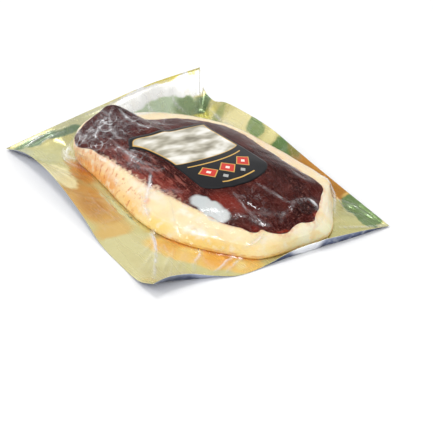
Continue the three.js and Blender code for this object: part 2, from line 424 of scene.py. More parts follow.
    def fat_side(self, turns: np.ndarray) -> np.ndarray:
        """Makes the rings of the fat's side.

        Args:
            turns: The rings' angles, from 90 at the shoulder to 0 at the foot.

        Returns:
            The rings, in the same order.
        """
        rings = []
        apron = self.apron * np.minimum(self.web, self.web_reach)
        for turn in np.radians(turns):
            spread = apron * math.cos(turn) ** self.apron_power
            rings.append(self.ring(
                lerp(self.shoulder, self.foot, math.cos(turn)) + spread,
                lerp(self.foot_height, self.shoulder_height, math.sin(turn))))
        return self.shaped(rings)

    def flange(self, shares: np.ndarray) -> np.ndarray:
        """Makes the rings of the bag's underside beyond the breast.

        Args:
            shares: The rings' places, from 0 where the films meet to 1 at the bag's edge.

        Returns:
            The rings, in the same order.
        """
        width = self.reach - self.foot - self.web
        knee = np.minimum(self.rise, width * (1 - self.knee_share))
        rings = []
        for share in shares:
            inner = lerp(width, knee, min(share / self.knee_share, 1))
            outer = knee * (1 - share) / (1 - self.knee_share)
            inset = inner if share < self.knee_share else outer
            raised = np.maximum(0, 1 - inset / self.rise)
            rings.append(self.ring(self.reach - inset, self.edge_height * raised**self.rise_power))
        return np.array(rings)

    def floor(self, shares: tuple[float, ...]) -> np.ndarray:
        """Returns flat rings of the bag's underside, below the breast."""
        return np.array([self.ring(self.foot * share, 0) for share in shares])


def unit(vectors: np.ndarray) -> np.ndarray:
    """Returns the vectors at length 1, and those of no length as they are."""
    length = np.linalg.norm(vectors, axis=-1, keepdims=True)
    return vectors / np.where(length > 0, length, 1)


def raised(rings: np.ndarray, distance: np.ndarray | float) -> np.ndarray:
    """Moves rings along the normals of the surface that they lie on.

    Args:
        rings: Ring by ring, ray by ray, one point each.
        distance: How far, upwards if positive, for all points or for each.

    Returns:
        The moved rings.
    """
    inwards = unit(np.concatenate([rings[:1], rings[:-1]]) - rings)
    outwards = unit(np.concatenate([rings[1:], rings[-1:]]) - rings)
    normal = np.cross(outwards - inwards, np.roll(rings, -1, 1) - np.roll(rings, 1, 1))
    normal[np.linalg.norm(normal, axis=-1) == 0] = (0, 0, 1)
    return rings + unit(normal) * np.reshape(distance, np.shape(distance) + (1,))


def ring_body(name: str, rings: np.ndarray, switch: int = 0,
              marks: dict[str, np.ndarray] | None = None) -> bpy.types.Object:
    """Makes a closed body from rings that run out below and back in above.

    Args:
        name: The piece's name.
        rings: The rings. All points of the first are one point, and so are the last's.
        switch: The ring from which faces wear the second material. 0 gives one material.
        marks: Numbers for the points, which the mesh keeps as attributes under their names.

    Returns:
        The new object.
    """
    stack, around, _ = rings.shape
    body = bmesh.new()
    bmesh.ops.create_grid(body, x_segments=around, y_segments=stack - 1, size=0.5)
    layers = {mark: body.verts.layers.float.new(mark) for mark in marks or {}}
    for face in body.faces:
        face.smooth = True
        above = (face.calc_center_median().y + 0.5) * (stack - 1) > switch
        face.material_index = int(switch > 0 and above)
    for vertex in body.verts:
        ray = round((vertex.co.x + 0.5) * around) % around
        ring = round((vertex.co.y + 0.5) * (stack - 1))
        vertex.co = rings[ring, ray] * MM
        for mark, layer in layers.items():
            vertex[layer] = marks[mark][ring, ray]
    bmesh.ops.remove_doubles(body, verts=body.verts, dist=MERGE_DISTANCE)
    return finished(name, body)


def finished(name: str, body: bmesh.types.BMesh) -> bpy.types.Object:
    """Turns a bmesh into an object of the scene, and frees it.

    Args:
        name: The piece's name.
        body: The bmesh.

    Returns:
        The new object.
    """
    mesh = bpy.data.meshes.new(name)
    body.to_mesh(mesh)
    body.free()
    piece = bpy.data.objects.new(name, mesh)
    bpy.context.scene.collection.objects.link(piece)
    return piece


# ---- nodes ------------------------------------------------------------------------------


def rgb(red: int, green: int, blue: int) -> Colour:
    """Returns a colour given as it looks on a screen, from 0 to 255, in linear light."""
    parts = (part / 255 for part in (red, green, blue))
    return *(p / 12.92 if p < 0.04045 else ((p + 0.055) / 1.055) ** 2.4 for p in parts), 1.0


class Board:
    """Makes and joins the nodes of one tree."""

    def __init__(self, tree: bpy.types.NodeTree) -> None:
        """Takes the tree and empties it."""
        self.tree = tree
        tree.nodes.clear()

    def add(self, kind: str, inputs: dict[str | int, object], **settings: object) -> bpy.types.Node:
        """Makes a node.

        Args:
            kind: The node's kind, without its ShaderNode.
            inputs: A value or a socket for each input that isn't left as it is.
            settings: Values of the node's own settings.

        Returns:
            The node.
        """
        prefix = "" if kind.startswith("NodeGroup") else "ShaderNode"
        node = self.tree.nodes.new(prefix + kind)
        for name, value in settings.items():
            setattr(node, name, value)
        for name, value in inputs.items():
            if isinstance(value, bpy.types.NodeSocket):
                self.tree.links.new(value, node.inputs[name])
            else:
                node.inputs[name].default_value = value
        return node

    def places(self) -> Socket:
        """Returns places on the object, in millimetres."""
        return self.scaled(self.add("TexCoord", {}).outputs["Object"], 1 / MM)

    def attribute(self, name: str) -> Socket:
        """Returns a number that the mesh holds for its points."""
        return self.add("Attribute", {}, attribute_name=name).outputs["Fac"]

    def vector(self, operation: str, first: Socket, second: object) -> Socket:
        """Returns the vector result of a Vector Math node."""
        return self.add("VectorMath", {0: first, 1: second}, operation=operation).outputs[0]

    def scaled(self, vector: Socket, scale: float) -> Socket:
        """Returns a vector times a number."""
        return self.add("VectorMath", {0: vector, "Scale": scale}, operation="SCALE").outputs[0]

    def maths(self, operation: str, first: object, second: object = 0.0,
              third: float = 0.0) -> Socket:
        """Returns the result of a Math node, kept within 0 to 1."""
        inputs = {0: first, 1: second, 2: third}
        return self.add("Math", inputs, operation=operation, use_clamp=True).outputs[0]

    def scaled_value(self, value: Socket, scale: float) -> Socket:
        """Returns a value times a number."""
        return self.maths("MULTIPLY", value, scale)

    def step(self, value: Socket, low: float, high: float | Socket,
             top: float | Socket = 1.0) -> Socket:
        """Returns a smooth rise from 0 at low to top at high."""
        inputs = {"Value": value, "From Min": low, "From Max": high, "To Max": top}
        return self.add("MapRange", inputs, interpolation_type="SMOOTHSTEP").outputs[0]

    def mix(self, share: object, first: object, second: object) -> Socket:
        """Returns a colour between two."""
        return self.add("Mix", {0: share, 6: first, 7: second}, data_type="RGBA").outputs[2]

    def noise(self, places: Socket, scale: float, detail: float = 3, stretch: Triple = (1, 1, 1),
              turn: float = 0.0) -> Socket:
        """Returns a cloudy pattern from 0 to 1.

        Args:
            places: Places in millimetres.
            scale: Patches for each millimetre.
            detail: How many finer layers it has.
            stretch: Scale along each axis.
            turn: Turns the pattern about the vertical, in degrees.

        Returns:
            The pattern.
        """
        inputs = {"Vector": places, "Rotation": (0, 0, math.radians(turn)), "Scale": stretch}
        moved = self.add("Mapping", inputs).outputs[0]
        return self.add("TexNoise", {"Vector": moved, "Scale": scale, "Detail": detail}).outputs[0]

    def group(self, tree: bpy.types.NodeTree, inputs: dict[str | int, object]) -> Socket:
        """Returns the first output of a node group."""
        return self.add("Group", inputs, node_tree=tree).outputs[0]


def new_group(name: str, inputs: dict[str, str], output: str) -> tuple[Board, bpy.types.Node]:
    """Starts a shader node group.

    Args:
        name: The group's name.
        inputs: The kind of socket for each input.
        output: The name of its one output, which is a number.

    Returns:
        The board of the group's nodes, and its input node.
    """
    tree = bpy.data.node_groups.new(name, "ShaderNodeTree")
    for label, socket in inputs.items():
        tree.interface.new_socket(label, in_out="INPUT", socket_type=socket)
    tree.interface.new_socket(output, in_out="OUTPUT", socket_type=NUMBER)
    board = Board(tree)
    return board, board.add("NodeGroupInput", {})


class Effects:
    """Node groups that more than one material uses."""

    crumple_drift: float = 9.0
    wrinkle_drift: float = 14.0
    line_width: float = 0.06
    line_patches: Range = (0.45, 0.62)

    def __init__(self) -> None:
        """Builds the groups."""
        self.spot = self.make_spot()
        self.crumple = self.make_crumple()
        self.wrinkles = self.make_wrinkles()

    def make_spot(self) -> bpy.types.NodeTree:
        """Makes a group that masks an oval seen from above.

        Returns:
            The group.
        """
        kinds = {"Places": VECTOR, "Centre": VECTOR, "Turn": NUMBER, "Stretch": VECTOR,
                 "Inner": NUMBER, "Strength": NUMBER}
        board, given = new_group("Oval field", kinds, "Mask")
        sockets = given.outputs
        offset = board.vector("SUBTRACT", sockets["Places"], sockets["Centre"])
        turned = board.add("VectorRotate", {"Vector": offset, "Angle": sockets["Turn"]},
                           rotation_type="Z_AXIS").outputs[0]
        local = board.vector("MULTIPLY", turned, sockets["Stretch"])
        reach = board.add("VectorMath", {0: local}, operation="LENGTH").outputs["Value"]
        mask = board.step(reach, 1.0, sockets["Inner"], sockets["Strength"])
        board.add("NodeGroupOutput", {0: mask})
        return board.tree

    def start_film(self, name: str, output: str, drift: float) -> tuple[Board, Socket, Socket]:
        """Starts a group for a pattern in a film, which noise bends.

        Args:
            name: The group's name.
            output: The name of its one output.
            drift: How far the noise moves the pattern, in millimetres.

        Returns:
            The board of the group's nodes, the bent places and the pattern's scale.
        """
        board, given = new_group(name, {"Places": VECTOR, "Scale": NUMBER}, output)
        places, scale = given.outputs["Places"], given.outputs["Scale"]
        inputs = {"Vector": places, "Scale": scale, "Detail": 2.0}
        noise = board.add("TexNoise", inputs).outputs["Color"]
        return board, board.vector("ADD", places, board.scaled(noise, drift)), scale

    def make_crumple(self) -> bpy.types.NodeTree:
        """Makes a group that gives the height of fine crumples in a film.

        Returns:
            The group.
        """
        board, bent, scale = self.start_film("Crumpled film", "Height", self.crumple_drift)
        facets = board.add("TexVoronoi", {"Vector": bent, "Scale": scale, "Detail": 1.0},
                           feature="SMOOTH_F1").outputs["Distance"]
        soft = board.add("TexNoise", {"Vector": bent, "Scale": scale, "Detail": 3.0}).outputs[0]
        height = board.add("Math", {0: facets, 1: soft}, operation="ADD").outputs[0]
        board.add("NodeGroupOutput", {0: height})
        return board.tree

    def make_wrinkles(self) -> bpy.types.NodeTree:
        """Makes a group that masks broken thin lines, like fine folds in a tight film.

        Returns:
            The group.
        """
        board, bent, scale = self.start_film("Fine folds", "Mask", self.wrinkle_drift)
        edges = board.add("TexVoronoi", {"Vector": bent, "Scale": scale},
                          feature="DISTANCE_TO_EDGE").outputs["Distance"]
        patches = board.add("TexNoise", {"Vector": bent, "Scale": scale, "Detail": 1.0})
        mask = board.maths("MULTIPLY", board.step(edges, self.line_width, 0.0),
                           board.step(patches.outputs[0], *self.line_patches))
        board.add("NodeGroupOutput", {0: mask})
        return board.tree


@dataclass(frozen=True)
class Spot:
    """An oval field of colour, seen from above, in millimetres and degrees."""

    x: float
    y: float
    half_width: float
    half_length: float
    turn: float
    colour: Colour
    soft: float = 0.6
    strength: float = 1.0


@dataclass(frozen=True)
class Cloud:
    """A cloudy mask: noise that rises smoothly from one level to another."""

    scale: float
    start: float
    full: float
    share: float = 1.0
    detail: float = 3
    stretch: Triple = (1, 1, 1)
    turn: float = 0.0

    def pattern(self, board: Board, places: Socket) -> Socket:
        """Returns the noise itself, from 0 to 1."""
        return board.noise(places, self.scale, self.detail, self.stretch, self.turn)

    def mask(self, board: Board, places: Socket) -> Socket:
        """Returns where the cloud shows, from 0 to its share."""
        return board.step(self.pattern(board, places), self.start, self.full, self.share)


Tints = tuple[tuple[Cloud, Colour], ...]


def tinted(board: Board, places: Socket, base: object, tints: Tints) -> Socket:
    """Lays cloudy colours over a colour.

    Args:
        board: The nodes of the material.
        places: Places in millimetres.
        base: The colour to start from.
        tints: The clouds with their colours, from the lowest to the topmost.

    Returns:
        The tinted colour.
    """
    colour = base
    for cloud, shade in tints:
        colour = board.mix(cloud.mask(board, places), colour, shade)
    return colour


def spot_mask(board: Board, effects: Effects, places: Socket, spot: Spot) -> Socket:
    """Masks an oval field.

    Args:
        board: The nodes of the material.
        effects: The shared node groups.
        places: Places in millimetres.
        spot: The field.

    Returns:
        The mask, from 0 to the field's strength.
    """
    return board.group(effects.spot, {
        "Places": places, "Centre": (spot.x, spot.y, 0), "Turn": -math.radians(spot.turn),
        "Stretch": (1 / spot.half_width, 1 / spot.half_length, 0),
        "Inner": 1 - spot.soft, "Strength": spot.strength})


def painted(board: Board, effects: Effects, places: Socket, base: object,
            spots: tuple[Spot, ...]) -> Socket:
    """Paints oval fields over a colour.

    Args:
        board: The nodes of the material.
        effects: The shared node groups.
        places: Places in millimetres.
        base: The colour to start from.
        spots: The fields, from the lowest to the topmost.

    Returns:
        The painted colour.
    """
    colour = base
    for spot in spots:
        colour = board.mix(spot_mask(board, effects, places, spot), colour, spot.colour)
    return colour


def warped(board: Board, places: Socket, scale: float, amount: float) -> Socket:
    """Shifts places by noise, which gives fields of colour uneven edges.

    Args:
        board: The nodes of the material.
        places: Places in millimetres.
        scale: Patches of noise for each millimetre.
        amount: The greatest shift, in millimetres.

    Returns:
        The shifted places.
    """
    inputs = {"Vector": places, "Scale": scale, "Detail": 3.0}
    drift = board.add("TexNoise", inputs).outputs["Color"]
    centred = board.vector("SUBTRACT", drift, (0.5, 0.5, 0.5))
    return board.vector("ADD", places, board.scaled(centred, amount))


def new_material(name: str, colour: Colour) -> tuple[bpy.types.Material, Board]:
    """Starts a node material.

    Args:
        name: The material's name.
        colour: Its colour where nodes aren't shown.

    Returns:
        The material, and the board of its nodes.
    """
    material = bpy.data.materials.new(name)
    material.use_nodes = True
    material.diffuse_color = colour
    return material, Board(material.node_tree)


def surface(board: Board, inputs: dict[str | int, object], height: Socket | None = None,
            depth: float = 0.0) -> None:
    """Ends a material in a Principled surface.

    Args:
        board: The nodes of the material.
        inputs: Values and sockets of the Principled node.
        height: A relief pattern, if it has one.
        depth: The relief's depth in millimetres.
    """
    if height is not None:
        bump = board.add("Bump", {"Height": height, "Distance": depth * MM})
        inputs = inputs | {"Normal": bump.outputs[0]}
    board.add("OutputMaterial", {"Surface": board.add("BsdfPrincipled", inputs).outputs[0]})


# ---- finishes ---------------------------------------------------------------------------

# Whitish fat that shows on both sides of the seam between the fat and the lean.
PALE_PATCH = (Spot(-18.4, -59, 4.8, 11, 18, rgb(204, 208, 208), 0.35),
              Spot(-17.2, -67, 6.4, 10, 24, rgb(206, 210, 209), 0.35),
              Spot(-15.6, -74, 6.2, 8.5, 30, rgb(208, 211, 210), 0.35))


@dataclass(frozen=True)
class GoldInside:
    """Metallised film, gold, with painted reflections: fields of green, copper, pale gold and yellow,
    and painted white glare.
    """

    base: Colour = rgb(222, 214, 150)
    roughness: float = 0.23
    streak_roughness: float = 0.08
    metallic: float = 0.6
    specular: float = 0.25
    uneven: Range = (0.07, 9.0)
    # Painted dark reflection: broken green dashes along a strip of the left flange.
    dashes: Cloud = Cloud(0.9, 0.56, 0.64, 1.0, 1, (1, 0.5, 1), 20)
    dash_strip: Spot = Spot(-50.4, -14, 1.3, 34, 0, rgb(84, 120, 98), 0.5, 0.8)
    streaks: Cloud = Cloud(0.16, 0.46, 0.75, 0.14, 3, (1, 0.14, 1), -6)
    streak_colour: Colour = rgb(186, 160, 92)
    crumple: float = 0.09
    depth: float = 0.25
    # Painted reflections of the studio and of the breast: green, copper, pale and yellow fields, and
    # painted white glare along the far curl.
    spots: tuple[Spot, ...] = (
        Spot(-66, 86, 18, 24, 0, rgb(214, 212, 158), 0.5),
        Spot(-50, 92, 12, 12, 0, rgb(222, 218, 158), 0.6),
        Spot(-76, 99, 12, 12, 0, rgb(204, 208, 174), 0.5),
        Spot(-65, 0, 20, 44, 0, rgb(226, 178, 92), 0.45),
        Spot(-67, -4, 13, 22, -10, rgb(208, 150, 64), 0.7),
        Spot(-51, 50, 8, 27, -4, rgb(222, 160, 72), 0.5),
        Spot(-49, 56, 4, 13, 0, rgb(208, 140, 54), 0.6),
        Spot(-67.5, 45, 11.5, 29, -8, rgb(246, 236, 182), 0.2),
        Spot(-67, -36, 18, 13, 14, rgb(234, 196, 116), 0.5),
        Spot(-50.6, -12, 3.6, 40, 2, rgb(232, 226, 164), 0.3),
        Spot(-70, -75, 24, 35, -6, rgb(228, 220, 162), 0.12),
        Spot(-64, -94, 16, 10, 0, rgb(218, 208, 150), 0.6),
        Spot(-34, -88, 15, 44, 33, rgb(255, 212, 118), 0.25),
        Spot(-48, -70, 6, 13, 12, rgb(248, 194, 94), 0.8),
        Spot(-30, -98, 12, 15, 40, rgb(255, 190, 84), 0.7),
        Spot(-37, -80, 4, 9, 35, rgb(255, 232, 150), 0.6),
        Spot(-22, -108, 7, 5, 60, rgb(255, 228, 150), 0.6),
        Spot(-60, -102, 18, 5, -12, rgb(216, 204, 154), 0.5),
        Spot(-48, 106.5, 38, 4.2, 1, rgb(134, 156, 124), 0.35),
        Spot(56, -106, 36, 10, 5, rgb(208, 202, 136), 0.4),
        Spot(67, -88, 10, 18, 0, rgb(208, 204, 142), 0.5),
        Spot(28, 104, 64, 6.0, 2, rgb(198, 214, 182), 0.25),
        Spot(66, 102, 19, 8, 0, rgb(140, 160, 118), 0.35),
        Spot(44, 112, 48, 5.4, 2, rgb(255, 255, 252), 0.25),
        Spot(-24, 112, 30, 5, 2, rgb(222, 220, 176), 0.5),
        Spot(36, 116.6, 56, 2.2, 1.6, rgb(242, 226, 96), 0.5),
        Spot(70, 90, 12, 9, 0, rgb(246, 234, 124), 0.5),
        Spot(74, 78, 9, 6, 20, rgb(190, 196, 126), 0.5),
        Spot(74, 50, 8, 24, 0, rgb(246, 236, 178), 0.35),
        Spot(77, 32, 5, 12, -4, rgb(140, 164, 110), 0.25),
        Spot(76.5, -3, 6, 12.5, 8, rgb(108, 140, 86), 0.25),
        Spot(78, -46, 7, 37, 0, rgb(196, 138, 62), 0.25),
        Spot(79, -14, 3.5, 11, 0, rgb(146, 140, 76), 0.5),
        Spot(79.5, -78, 2.6, 9, 0, rgb(244, 204, 120), 0.4),
        Spot(75.5, -93, 6.2, 22, -8, rgb(118, 144, 90), 0.15),
        Spot(78, -104, 4, 9, 0, rgb(120, 146, 92), 0.2),
        Spot(77, -114, 5, 3, 0, rgb(216, 214, 168), 0.5),
        Spot(77, 104, 8, 6, 0, rgb(136, 158, 118), 0.3),
        Spot(77, 14, 5, 6, 0, rgb(240, 232, 168), 0.4))
    # Less metallic where the painted reflections and glare should show as flat colour.
    dull_spots: tuple[Spot, ...] = (
        Spot(-67.5, 45, 11.5, 29, -8, (0.05, 0.05, 0.05, 1), 0.25),
        Spot(-4, 111.5, 20, 5, 2, (0.3, 0.3, 0.3, 1), 0.6),
        Spot(-62, 98, 18, 12, 0, (0.3, 0.3, 0.3, 1), 0.4))

    def material(self, effects: Effects) -> bpy.types.Material:
        """Makes the material.

        Args:
            effects: The shared node groups.

        Returns:
            The material.
        """
        made, board = new_material("gold inside", self.base)
        places = board.places()
        uneven = warped(board, places, *self.uneven)
        # Painted reflections and glare, then a strip of painted dark reflection dashes.
        colour = painted(board, effects, uneven, self.base, self.spots)
        dashes = board.maths("MULTIPLY", self.dashes.mask(board, places),
                             spot_mask(board, effects, places, self.dash_strip))
        colour = board.mix(dashes, colour, self.dash_strip.colour)
        colour = tinted(board, places, colour, ((self.streaks, self.streak_colour),))
        metal = painted(board, effects, uneven, (self.metallic,) * 3 + (1.0,), self.dull_spots)
        rough = board.maths("MULTIPLY_ADD", self.streaks.pattern(board, places),
                            self.streak_roughness, self.roughness)
        height = board.group(effects.crumple, {"Places": places, "Scale": self.crumple})
        inputs = {"Base Color": colour, "Metallic": metal, "Roughness": rough,
                  "Specular IOR Level": self.specular}
        surface(board, inputs, height, self.depth)
        return made


@dataclass(frozen=True)
class SilverOutside:
    """The outside of the same film, silver, with painted reflections on its lips."""

    base: Colour = rgb(116, 126, 154)
    roughness: float = 0.3
    streaks: Tints = ((Cloud(0.3, 0.35, 0.7, 1.0, 3, (1, 0.3, 1)), rgb(66, 74, 102)),
                      (Cloud(0.3, 0.42, 0.3, 0.7, 3, (1, 0.3, 1)), rgb(178, 182, 188)))
    # Painted reflection: the lips turn lighter higher up.
    raised: Step = (1.5, 6.5, 0.6)
    raised_sheen_colour: Colour = rgb(186, 192, 206)
    crumple: float = 0.12
    depth: float = 0.3
    # Painted reflections: a lighter field on the near-left lip and a painted white highlight on the
    # near lip.
    spots: tuple[Spot, ...] = (
        Spot(-52, -116, 24, 7, 0, rgb(196, 202, 220), 0.4),
        Spot(20, -118, 15, 4, 0, rgb(240, 242, 246), 0.4))

    def material(self, effects: Effects) -> bpy.types.Material:
        """Makes the material.

        Args:
            effects: The shared node groups.

        Returns:
            The material.
        """
        made, board = new_material("silver outside", self.base)
        places = board.places()
        colour = tinted(board, places, self.base, self.streaks)
        up = board.add("SeparateXYZ", {0: places}).outputs[2]
        # Painted reflection lighter higher up, then painted lighter fields and highlight.
        colour = board.mix(board.step(up, *self.raised), colour, self.raised_sheen_colour)
        colour = painted(board, effects, places, colour, self.spots)
        height = board.group(effects.crumple, {"Places": places, "Scale": self.crumple})
        inputs = {"Base Color": colour, "Metallic": 1.0, "Roughness": self.roughness}
        surface(board, inputs, height, self.depth)
        return made


@dataclass(frozen=True)
class DuckFat:
    """Soft cream fat, orange low on its left side, with reddish flecks and a painted shade line along
    its foot.

    The steps upper, foot, foot_shade_low and foot_shade_high are heights in millimetres. near_seam is
    a step of the mesh's edge attribute.
    """

    base: Colour = rgb(253, 227, 166)
    roughness: float = 0.5
    specular: float = 0.15
    subsurface: float = 0.25
    subsurface_radius: Triple = (0.004, 0.0025, 0.0012)
    uneven: Range = (0.15, 5.0)
    clouds: Tints = ((Cloud(0.12, 0.5, 0.7, 0.7, 4), rgb(251, 213, 144)),
                     (Cloud(0.12, 0.48, 0.32, 0.7, 4), rgb(252, 238, 212)))
    upper: Step = (5.5, 9.5, 0.4)
    upper_colour: Colour = rgb(253, 238, 214)
    foot: Step = (3.0, 0.4, 0.7)
    foot_colour: Colour = rgb(253, 200, 108)
    ragged_scale: float = 0.3
    # Painted shade: a broken darker orange line low on the fat's side, where it meets the gold.
    foot_shade_low: Step = (0.9, 1.5)
    foot_shade_high: Step = (2.4, 1.7)
    foot_shade_gaps: Cloud = Cloud(0.25, 0.42, 0.6)
    foot_shade_share: float = 0.45
    foot_shade_colour: Colour = rgb(218, 140, 72)
    flecks: Cloud = Cloud(0.3, 0.56, 0.68, 1.0, 3, (1, 1, 0.7))
    fleck_strip: Spot = Spot(-45, 12, 8, 62, 0, rgb(216, 120, 72), 0.6, 0.75)
    near_seam: Step = (0.55, 1.0, 0.6)
    stain: Cloud = Cloud(0.35, 0.38, 0.56)
    stain_colour: Colour = rgb(232, 160, 120)
    relief_scale: float = 0.5
    depth: float = 0.5
    spots: tuple[Spot, ...] = (
        Spot(-46, 36, 8, 44, 0, rgb(242, 172, 96), 0.5),
        Spot(-45, -20, 6, 24, 0, rgb(253, 208, 132), 0.7),
        Spot(-39.5, 34, 2.6, 26, 3, rgb(254, 236, 218), 0.6),
        Spot(-37, -22, 4, 26, 6, rgb(252, 236, 210), 0.6),
        Spot(-41, -30, 2.6, 5, 10, rgb(246, 164, 110), 0.8),
        Spot(-43, -50, 6, 16, 14, rgb(255, 222, 136), 0.6),
        Spot(54, -92, 15, 17, 0, rgb(254, 242, 212), 0.7),
        Spot(10, 92, 54, 18, 0, rgb(255, 252, 240), 0.5),
        Spot(-30, -86, 6, 32, 36, rgb(253, 214, 128), 0.7),
        Spot(-31, -74, 3.4, 11, 30, rgb(254, 246, 230), 0.5),
        Spot(-30, -58, 3.4, 9, 22, rgb(254, 244, 222), 0.6),
        Spot(62, -20, 9, 52, 0, rgb(246, 208, 158), 0.5),
        Spot(60, -80, 6, 12, -30, rgb(253, 234, 196), 0.5),
        # Painted light: a paler field over the shaded near-right foot.
        Spot(34, -107, 26, 7, 10, rgb(255, 248, 212), 0.6),
        *PALE_PATCH)

    def material(self, effects: Effects) -> bpy.types.Material:
        """Makes the material.

        Args:
            effects: The shared node groups.

        Returns:
            The material.
        """
        made, board = new_material("duck fat", self.base)
        places = board.places()
        uneven = warped(board, places, *self.uneven)
        colour = painted(board, effects, uneven, self.base, self.spots)
        colour = tinted(board, places, colour, self.clouds)
        up = board.add("SeparateXYZ", {0: places}).outputs[2]
        colour = board.mix(board.step(up, *self.upper), colour, self.upper_colour)
        drift = board.noise(places, self.ragged_scale, 2)
        ragged = board.add("Math", {0: up, 1: drift}, operation="SUBTRACT").outputs[0]
        colour = board.mix(board.step(ragged, *self.foot), colour, self.foot_colour)
        # Painted shade along the foot, broken into dashes.
        rim = board.maths("MULTIPLY", board.step(ragged, *self.foot_shade_low),
                          board.step(ragged, *self.foot_shade_high))
        broken = board.maths("MULTIPLY", rim, self.foot_shade_gaps.mask(board, places))
        colour = board.mix(board.scaled_value(broken, self.foot_shade_share), colour, self.foot_shade_colour)
        marks = board.maths("MULTIPLY", self.flecks.mask(board, places),
                            spot_mask(board, effects, places, self.fleck_strip))
        colour = board.mix(marks, colour, self.fleck_strip.colour)
        near = board.attribute("edge")
        stain = board.maths("MULTIPLY", board.step(near, *self.near_seam),
                            self.stain.mask(board, places))
        colour = board.mix(stain, colour, self.stain_colour)
        inputs = {"Base Color": colour, "Roughness": self.roughness,
                  "Specular IOR Level": self.specular, "Subsurface Weight": self.subsurface,
                  "Subsurface Radius": self.subsurface_radius, "Subsurface Scale": 1.0}
        surface(board, inputs, board.noise(places, self.relief_scale, 4), self.depth)
        return made


@dataclass(frozen=True)
class DriedLean:
    """Dark dried lean meat, with fibres along the breast, a pale ragged fringe, and painted film
    reflection and shade at its far end.
    """

    base: Colour = rgb(58, 19, 17)
    roughness: float = 0.42
    specular: float = 0.03
    subsurface: float = 0.1
    subsurface_radius: Triple = (0.002, 0.0006, 0.0004)
    broad: Cloud = Cloud(0.07, 0.4, 0.65, 0.5, 4, (1, 0.5, 1), 10)
    broad_colour: Colour = rgb(98, 38, 32)
    uneven: Range = (0.15, 8.0)
    fibres: Tints = ((Cloud(0.7, 0.5, 0.64, 1.0, 5, (1, 0.1, 1), 10), rgb(166, 96, 84)),
                     (Cloud(0.7, 0.5, 0.36, 1.0, 5, (1, 0.1, 1), 10), rgb(30, 9, 9)))
    fibre_strip: Spot = Spot(-28, -4, 15, 62, 10, rgb(166, 96, 84), 0.5, 0.5)
    fibre_share: float = 0.14
    grain: Tints = ((Cloud(1.1, 0.5, 0.72, 0.45, 4), rgb(136, 84, 76)),
                    (Cloud(1.1, 0.48, 0.3, 0.6, 4), rgb(24, 8, 8)),
                    (Cloud(0.9, 0.7, 0.76, 0.6, 1), rgb(196, 136, 116)))
    seam_share: float = 0.5
    fringe_share: float = 0.8
    fringe: Cloud = Cloud(0.32, 0.7, 0.94, 1.0, 4)
    fringe_strength: float = 1.8
    fringe_colour: Colour = rgb(240, 206, 178)
    patch_uneven: Range = (0.2, 3.0)
    depth: float = 0.5
    spots: tuple[Spot, ...] = (
        # Painted reflection: a purple-grey film sheen over the far end.
        Spot(-20, 64, 28, 30, 0, rgb(76, 54, 56), 0.6),
        # Painted shade on the steep side of the peak.
        Spot(-5, 76, 7, 10, 0, rgb(40, 14, 14), 0.5),
        Spot(-32, 22, 9, 26, 6, rgb(112, 62, 58), 0.6),
        Spot(-31, -18, 9, 40, 14, rgb(132, 54, 44), 0.6),
        Spot(-7, -70, 9, 19, 20, rgb(124, 42, 32), 0.7),
        Spot(42, -45, 14, 50, -4, rgb(48, 15, 14), 0.6),
        Spot(32, -95, 12, 7, 12, rgb(38, 12, 11), 0.5),
        Spot(12, -84, 9, 13, 0, rgb(62, 18, 14), 0.7),
        Spot(-4, -97, 5, 4, 0, rgb(104, 26, 18), 0.7),
        Spot(37, -100, 5, 3, 20, rgb(150, 44, 20), 0.8),
        Spot(10, -105, 8, 2, 0, rgb(134, 44, 28), 0.8))

    def material(self, effects: Effects) -> bpy.types.Material:
        """Makes the material.

        Args:
            effects: The shared node groups.

        Returns:
            The material.
        """
        made, board = new_material("dried lean", self.base)
        places = board.places()
        colour = tinted(board, places, self.base, ((self.broad, self.broad_colour),))
        uneven = warped(board, places, *self.uneven)
        colour = painted(board, effects, uneven, colour, self.spots)
        strip = spot_mask(board, effects, places, self.fibre_strip)
        share = board.maths("ADD", strip, self.fibre_share)
        for cloud, shade in self.fibres:
            mask = board.maths("MULTIPLY", cloud.mask(board, places), share)
            colour = board.mix(mask, colour, shade)
        colour = tinted(board, places, colour, self.grain)
        near = board.scaled_value(board.attribute("edge"), self.seam_share)
        rough = board.scaled_value(self.fringe.pattern(board, places), self.fringe_share)
        fringe = board.step(board.maths("ADD", near, rough), self.fringe.start, self.fringe.full)
        fringe = board.scaled_value(board.maths("MULTIPLY", fringe, strip), self.fringe_strength)
        colour = board.mix(fringe, colour, self.fringe_colour)
        patch_places = warped(board, places, *self.patch_uneven)
        colour = painted(board, effects, patch_places, colour, PALE_PATCH)
        height = board.maths("ADD", self.fibres[0][0].pattern(board, places),
                             self.broad.pattern(board, places))
        inputs = {"Base Color": colour, "Roughness": self.roughness,
                  "Specular IOR Level": self.specular, "Subsurface Weight": self.subsurface,
                  "Subsurface Radius": self.subsurface_radius, "Subsurface Scale": 1.0}
        surface(board, inputs, height, self.depth)
        return made


